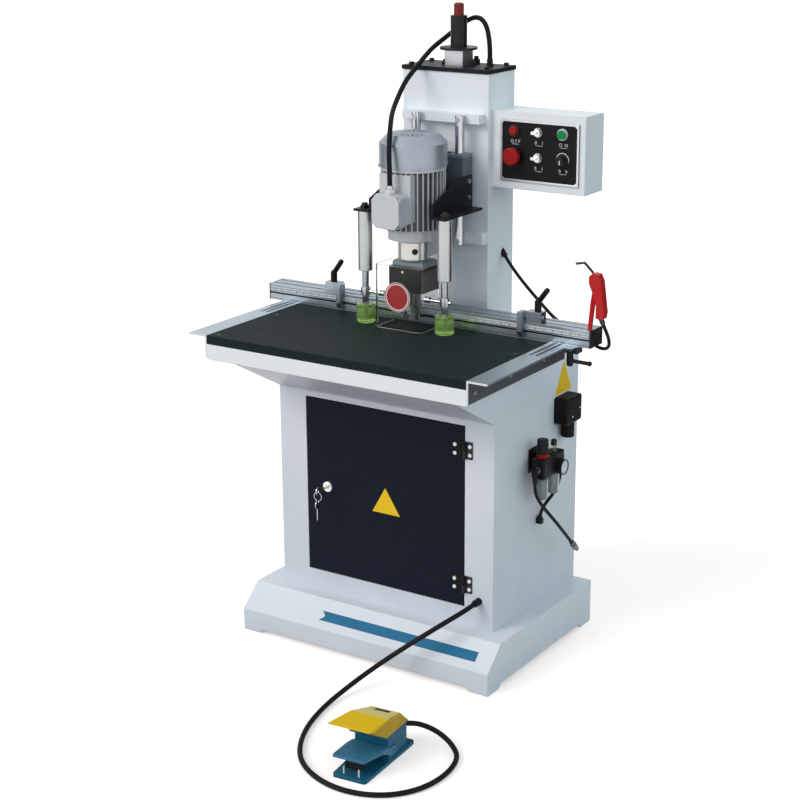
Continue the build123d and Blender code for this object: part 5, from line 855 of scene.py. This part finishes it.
# Air service unit: a black die-cast regulator and lubricator on a bracket on the cabinet's right wall,
# with clear bowls, a sight dome under a black cap, a small white gauge and a black knob over a red ring.
BRASS = (0.55, 0.53, 0.48)
dress("frl_body", layers("unit_black", (0.011, 0.011, 0.012), 0.36, 0.1, [
    ((0.345, None, 0.5551), (None, 0.034, 0.5655), (0.36, 0.014, 0.014), 0.38, 0.0),
    ((0.36, -0.035, None), (0.39, -0.0101, None), BRASS, 0.25, 1.0),
    ((0.36, 0.1021, None), (0.39, None, None), BRASS, 0.25, 1.0),
], gleam=0.10, peel=420, depth=0.0003))
coat, tree, shader, place = begin("bowl_clear")
edge = soft_edges(tree, shader, 0.0012, mottle(tree, place, 30, 2.0), 0.0002)
# Painted highlight: the bowls' edges are painted paler.
skin = lay_over(tree, edge, (0.52, 0.56, 0.57), (0.80, 0.83, 0.84))
sight = inside(tree, place, (None, None, 0.5551), (None, None, None))
skin = lay_over(tree, sight, skin, (0.62, 0.66, 0.40))
dome_cap = inside(tree, place, (None, None, 0.5715), (None, None, None))
paint(tree, shader, lay_over(tree, dome_cap, skin, BLACK), patchy(tree, place, 45, 3.0, 0.05, 0.12))
tree.links.new(remap(tree, dome_cap, 0.80, 0.0, 0.0, 1.0), shader.inputs["Transmission Weight"])
shader.inputs["IOR"].default_value = 1.40
dress("frl_bowls", coat)
dress("regulator_knob", moulding("knob_black", (0.010, 0.010, 0.011), 0.38))

coat, tree, shader, place = begin("gauge_white", 0.3)
DIAL = (0.0, 0.076, 0.516)
DIAL_MARKS = 20
DIAL_INK = (0.02, 0.02, 0.02)
on_dial = from_centre(tree, place, DIAL)
axes = along(tree, on_dial)
away = reach(tree, place, DIAL, 0)
turn = sums(tree, "ARCTAN2", axes[2], axes[1])
step = sums(tree, "FRACT", sums(tree, "MULTIPLY", turn, DIAL_MARKS / (2 * math.pi)), 0.0)
mark = sums(tree, "MULTIPLY", sums(tree, "LESS_THAN", step, 0.22), between(tree, away, 0.0135, 0.0170))
skin = lay_over(tree, mark, (0.78, 0.82, 0.84), DIAL_INK)
hand = inside(tree, on_dial, (None, -0.0009, -0.002), (None, 0.0009, 0.0125))
skin = lay_over(tree, hand, skin, DIAL_INK)
rim = sums(tree, "GREATER_THAN", away, 0.0189)
skin = lay_over(tree, rim, skin, (0.012, 0.012, 0.013))
paint(tree, shader, skin, patchy(tree, place, 60, 3.0, 0.24, 0.34))
soft_edges(tree, shader, 0.0006, mottle(tree, place, 500, 2.0), 0.00006)
dress("pressure_gauge", coat)


# Pedal: a blue cast base and treadle with a lightly ribbed tread and a black rubber buffer under it,
# white guide posts, and a moulded yellow hood with a long visor, standing a little turned on the floor.
PEDAL_TURN = math.radians(5.3)
PEDAL_CENTRE = Vector((0.3245, -0.7048, 0.0))


def on_pedal(tree, place):
    """The place on the pedal, measured square to the pedal itself."""
    square = tree.nodes.new("ShaderNodeMapping")
    square.inputs["Rotation"].default_value = (0, 0, -PEDAL_TURN)
    back = Matrix.Rotation(-PEDAL_TURN, 3, "Z") @ PEDAL_CENTRE
    square.inputs["Location"].default_value = tuple(-part for part in back)
    tree.links.new(place, square.inputs["Vector"])
    return square.outputs["Vector"]


def pedal_paint(name, colour, pale, rough, regions, ribs=None, crown=None, slot=None):
    """Cast or moulded pedal pieces: mottled colour, a painted highlight along the edges, a painted lit
    crown where asked, and ribs where asked.
    """
    coat, tree, shader, place = begin(name, 0.14)
    square = on_pedal(tree, place)
    tone = patchy(tree, place, 26, 4.0, 0.0, 0.6)
    skin = lay_over(tree, tone, colour, shaded(colour, 0.80))
    relief = mottle(tree, place, 420, 3.0)
    depth = 0.00018
    if ribs is not None:
        wave = tree.nodes.new("ShaderNodeTexWave")
        wave.bands_direction = "Y"
        wave.inputs["Scale"].default_value = ribs
        tree.links.new(square, wave.inputs["Vector"])
        relief = wave.outputs["Fac"]
        depth = 0.0004
    edge = soft_edges(tree, shader, 0.0016, relief, depth)
    # Painted highlight: every edge is lightened toward the pale colour.
    skin = lay_over(tree, sums(tree, "MULTIPLY", edge, 0.6), skin, pale)
    gloss = patchy(tree, place, 60, 3.0, rough - 0.05, rough + 0.1)
    for low, high, tint in regions:
        skin = lay_over(tree, inside(tree, square, low, high), skin, tint)
    # Painted light: the crown above a sloped level is painted paler.
    if crown is not None:
        fall, level, tint = crown
        axes = along(tree, square)
        rise = sums(tree, "ADD", axes[2], sums(tree, "MULTIPLY", axes[1], fall))
        skin = lay_over(tree, sums(tree, "GREATER_THAN", rise, level), skin, tint)
    if slot is not None:
        skin = lay_over(tree, inside(tree, square, *slot), skin, BLACK)
    paint(tree, shader, skin, gloss)
    return coat


EDGE_LIGHT_BLUE = (0.20, 0.50, 0.64)
posts = ((None, -0.107, 0.0085), (None, -0.098, 0.030), (0.72, 0.74, 0.75))
buffer = ((-0.0193, -0.0970, 0.019), (0.0193, -0.0740, 0.0505), BLACK)
# Painted light: the visor's top and the crown are painted lighter than the hood's sides.
visor = ((None, None, 0.1182), (None, -0.0078, None), (0.88, 0.56, 0.010))
crown = (0.28, 0.1180, (0.78, 0.64, 0.22))
slot = ((-0.020, 0.041, 0.090), (0.020, 0.058, None))
base_blue = pedal_paint("pedal_blue", (0.010, 0.118, 0.200), EDGE_LIGHT_BLUE, 0.38, [posts])
dress("pedal_base", base_blue)
tread_blue = pedal_paint("tread_blue", (0.045, 0.200, 0.335), EDGE_LIGHT_BLUE, 0.38, [buffer], ribs=42)
dress("pedal_treadle", tread_blue)
hood_yellow = pedal_paint(
    "hood_yellow", (0.60, 0.35, 0.010), (0.84, 0.62, 0.10), 0.42, [visor], crown=crown, slot=slot)
dress("pedal_hood", hood_yellow)


# Cords and hoses: a black rubber motor cable, the pedal's black cord on the floor, and thin black air hoses
# for the supply, the outlet and the blow gun, each in a moulded gland or push-in elbow at its ends.
dress("hose_glands", moulding("gland_black", (0.010, 0.010, 0.011), 0.42))
dress("supply_coupler", bright_metal("coupler_steel", (0.17, 0.17, 0.165), 0.22))


def rubber(name, colour, rough):
    """Extruded rubber: chalky bloom, fine talc specks and a dull shine."""
    coat, tree, shader, place = begin(name, 0.09)
    bloom = patchy(tree, place, 30, 4.0, 0.0, 0.6)
    skin = lay_over(tree, bloom, colour, shaded(colour, 1.6, 0.003))
    talc = patchy(tree, place, 420, 5.0, 0.0, 0.12, 0.62, 0.78)
    skin = lay_over(tree, talc, skin, (0.07, 0.07, 0.075))
    paint(tree, shader, skin, patchy(tree, place, 55, 4.0, rough - 0.06, rough + 0.1))
    bump = tree.nodes.new("ShaderNodeBump")
    bump.inputs["Strength"].default_value = 0.4
    bump.inputs["Distance"].default_value = 0.0002
    tree.links.new(mottle(tree, place, 520, 3.0), bump.inputs["Height"])
    tree.links.new(bump.outputs["Normal"], shader.inputs["Normal"])
    return coat


def run_of(name, millimetres, radius):
    """A smooth line along a route, with a round section where a radius is given."""
    route = bpy.data.curves.new(name, "CURVE")
    route.dimensions = "3D"
    spline = route.splines.new("NURBS")
    spline.points.add(len(millimetres) - 1)
    for knot, (x, y, z) in zip(spline.points, millimetres):
        knot.co = (x / 1000, y / 1000, z / 1000, 1)
    spline.order_u = 3
    spline.use_endpoint_u = True
    spline.resolution_u = 10
    route.bevel_depth = radius
    route.bevel_resolution = 5
    line = bpy.data.objects.new(name, route)
    bpy.context.scene.collection.objects.link(line)
    return line


def tube_of(name, millimetres, radius):
    """The same line as a closed mesh tube, with the points that it follows."""
    bare = run_of(name + "_line", millimetres, 0.0)
    points = [tuple(vert.co) for vert in settled(bare).vertices]
    bare.data.bevel_depth = radius
    bare.data.use_fill_caps = True
    skin = settled(bare)
    bpy.data.objects.remove(bare)
    skin.name = name
    tube = bpy.data.objects.new(name, skin)
    bpy.context.scene.collection.objects.link(tube)
    for face in skin.polygons:
        face.use_smooth = True
    return tube, points


CORD_RADIUS = 0.0065
HOSE_RADIUS = 0.0045
cord_rubber = rubber("cord_rubber", (0.008, 0.008, 0.009), 0.44)
hose_rubber = rubber("hose_rubber", (0.009, 0.010, 0.011), 0.36)

motor_route = [
    (85, 224, 1536.4), (85, 224, 1566), (80, 225, 1598), (70, 229, 1622), (53, 235, 1637),
    (30, 243, 1640), (5, 250, 1632), (-19, 254, 1618), (-42, 252, 1601), (-61, 244, 1585),
    (-73, 228, 1571), (-78, 206, 1560), (-77, 180, 1549), (-74, 150, 1536), (-71, 121, 1522),
    (-74, 96, 1505), (-76, 72, 1488), (-75, 48, 1468), (-70, 24, 1451), (-63, -4, 1432),
    (-49, -38, 1415), (-29, -74, 1397), (-13, -104, 1367), (-4, -121, 1327), (0, -124, 1288),
    (0, -124, 1250)]
motor_lead, motor_line = tube_of("motor_lead", motor_route, CORD_RADIUS)
motor_lead.data.materials.append(cord_rubber)
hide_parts("motor_cable")
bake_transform(motor_lead)

pedal_route = [
    (333, -597, 48), (354, -575, 47), (382, -562, 41), (413, -556, 31), (443, -558, 18), (469, -571, 9),
    (491, -594, 7), (506, -627, 7), (514, -667, 7), (515, -711, 7), (507, -757, 7), (488, -799, 7),
    (458, -834, 7), (418, -859, 7), (371, -872, 7), (321, -872, 7), (271, -859, 7), (225, -836, 7),
    (184, -803, 7), (151, -760, 7), (124, -711, 7), (102, -655, 7), (86, -594, 7), (76, -530, 8),
    (77, -465, 15), (93, -404, 34), (126, -357, 64), (170, -324, 101), (215, -298, 137), (254, -264, 167),
    (284, -223, 189), (290, -181, 195)]
pedal_lead = run_of("pedal_lead", pedal_route, CORD_RADIUS)
pedal_lead.data.materials.append(cord_rubber)
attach(pedal_lead, "frame")
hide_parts("pedal_cord")

supply_route = [
    (375, -23, 495), (375, -23, 474), (380, -16, 450), (388, 0, 424), (396, 24, 396), (401, 52, 366),
    (403, 82, 336), (403, 111, 308), (403, 134, 286)]
supply_lead = run_of("supply_lead", supply_route, HOSE_RADIUS)
supply_lead.data.materials.append(hose_rubber)
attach(supply_lead, "frame")
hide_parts("supply_hose")

outlet_route = [
    (375, 115, 495), (375, 115, 475), (372, 107, 450), (365, 95, 427), (355, 80, 408), (347, 69, 390),
    (344, 65, 372)]
outlet_lead = run_of("outlet_lead", outlet_route, HOSE_RADIUS)
outlet_lead.data.materials.append(hose_rubber)
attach(outlet_lead, "frame")
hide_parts("outlet_hose")

gun_route = [
    (141, 217, 1022), (154, 211, 1010), (176, 201, 993), (207, 189, 970), (243, 175, 947), (279, 159, 927),
    (315, 139, 910), (352, 119, 895), (388, 107, 886), (418, 101, 879), (446, 95, 869), (474, 84, 859),
    (503, 70, 853), (527, 58, 857), (541, 47, 870), (544, 37, 891), (540, 29, 911), (533, 25, 930)]
gun_lead, gun_line = tube_of("gun_lead", gun_route, HOSE_RADIUS)
gun_lead.data.materials.append(hose_rubber)
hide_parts("gun_hose")
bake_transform(gun_lead)
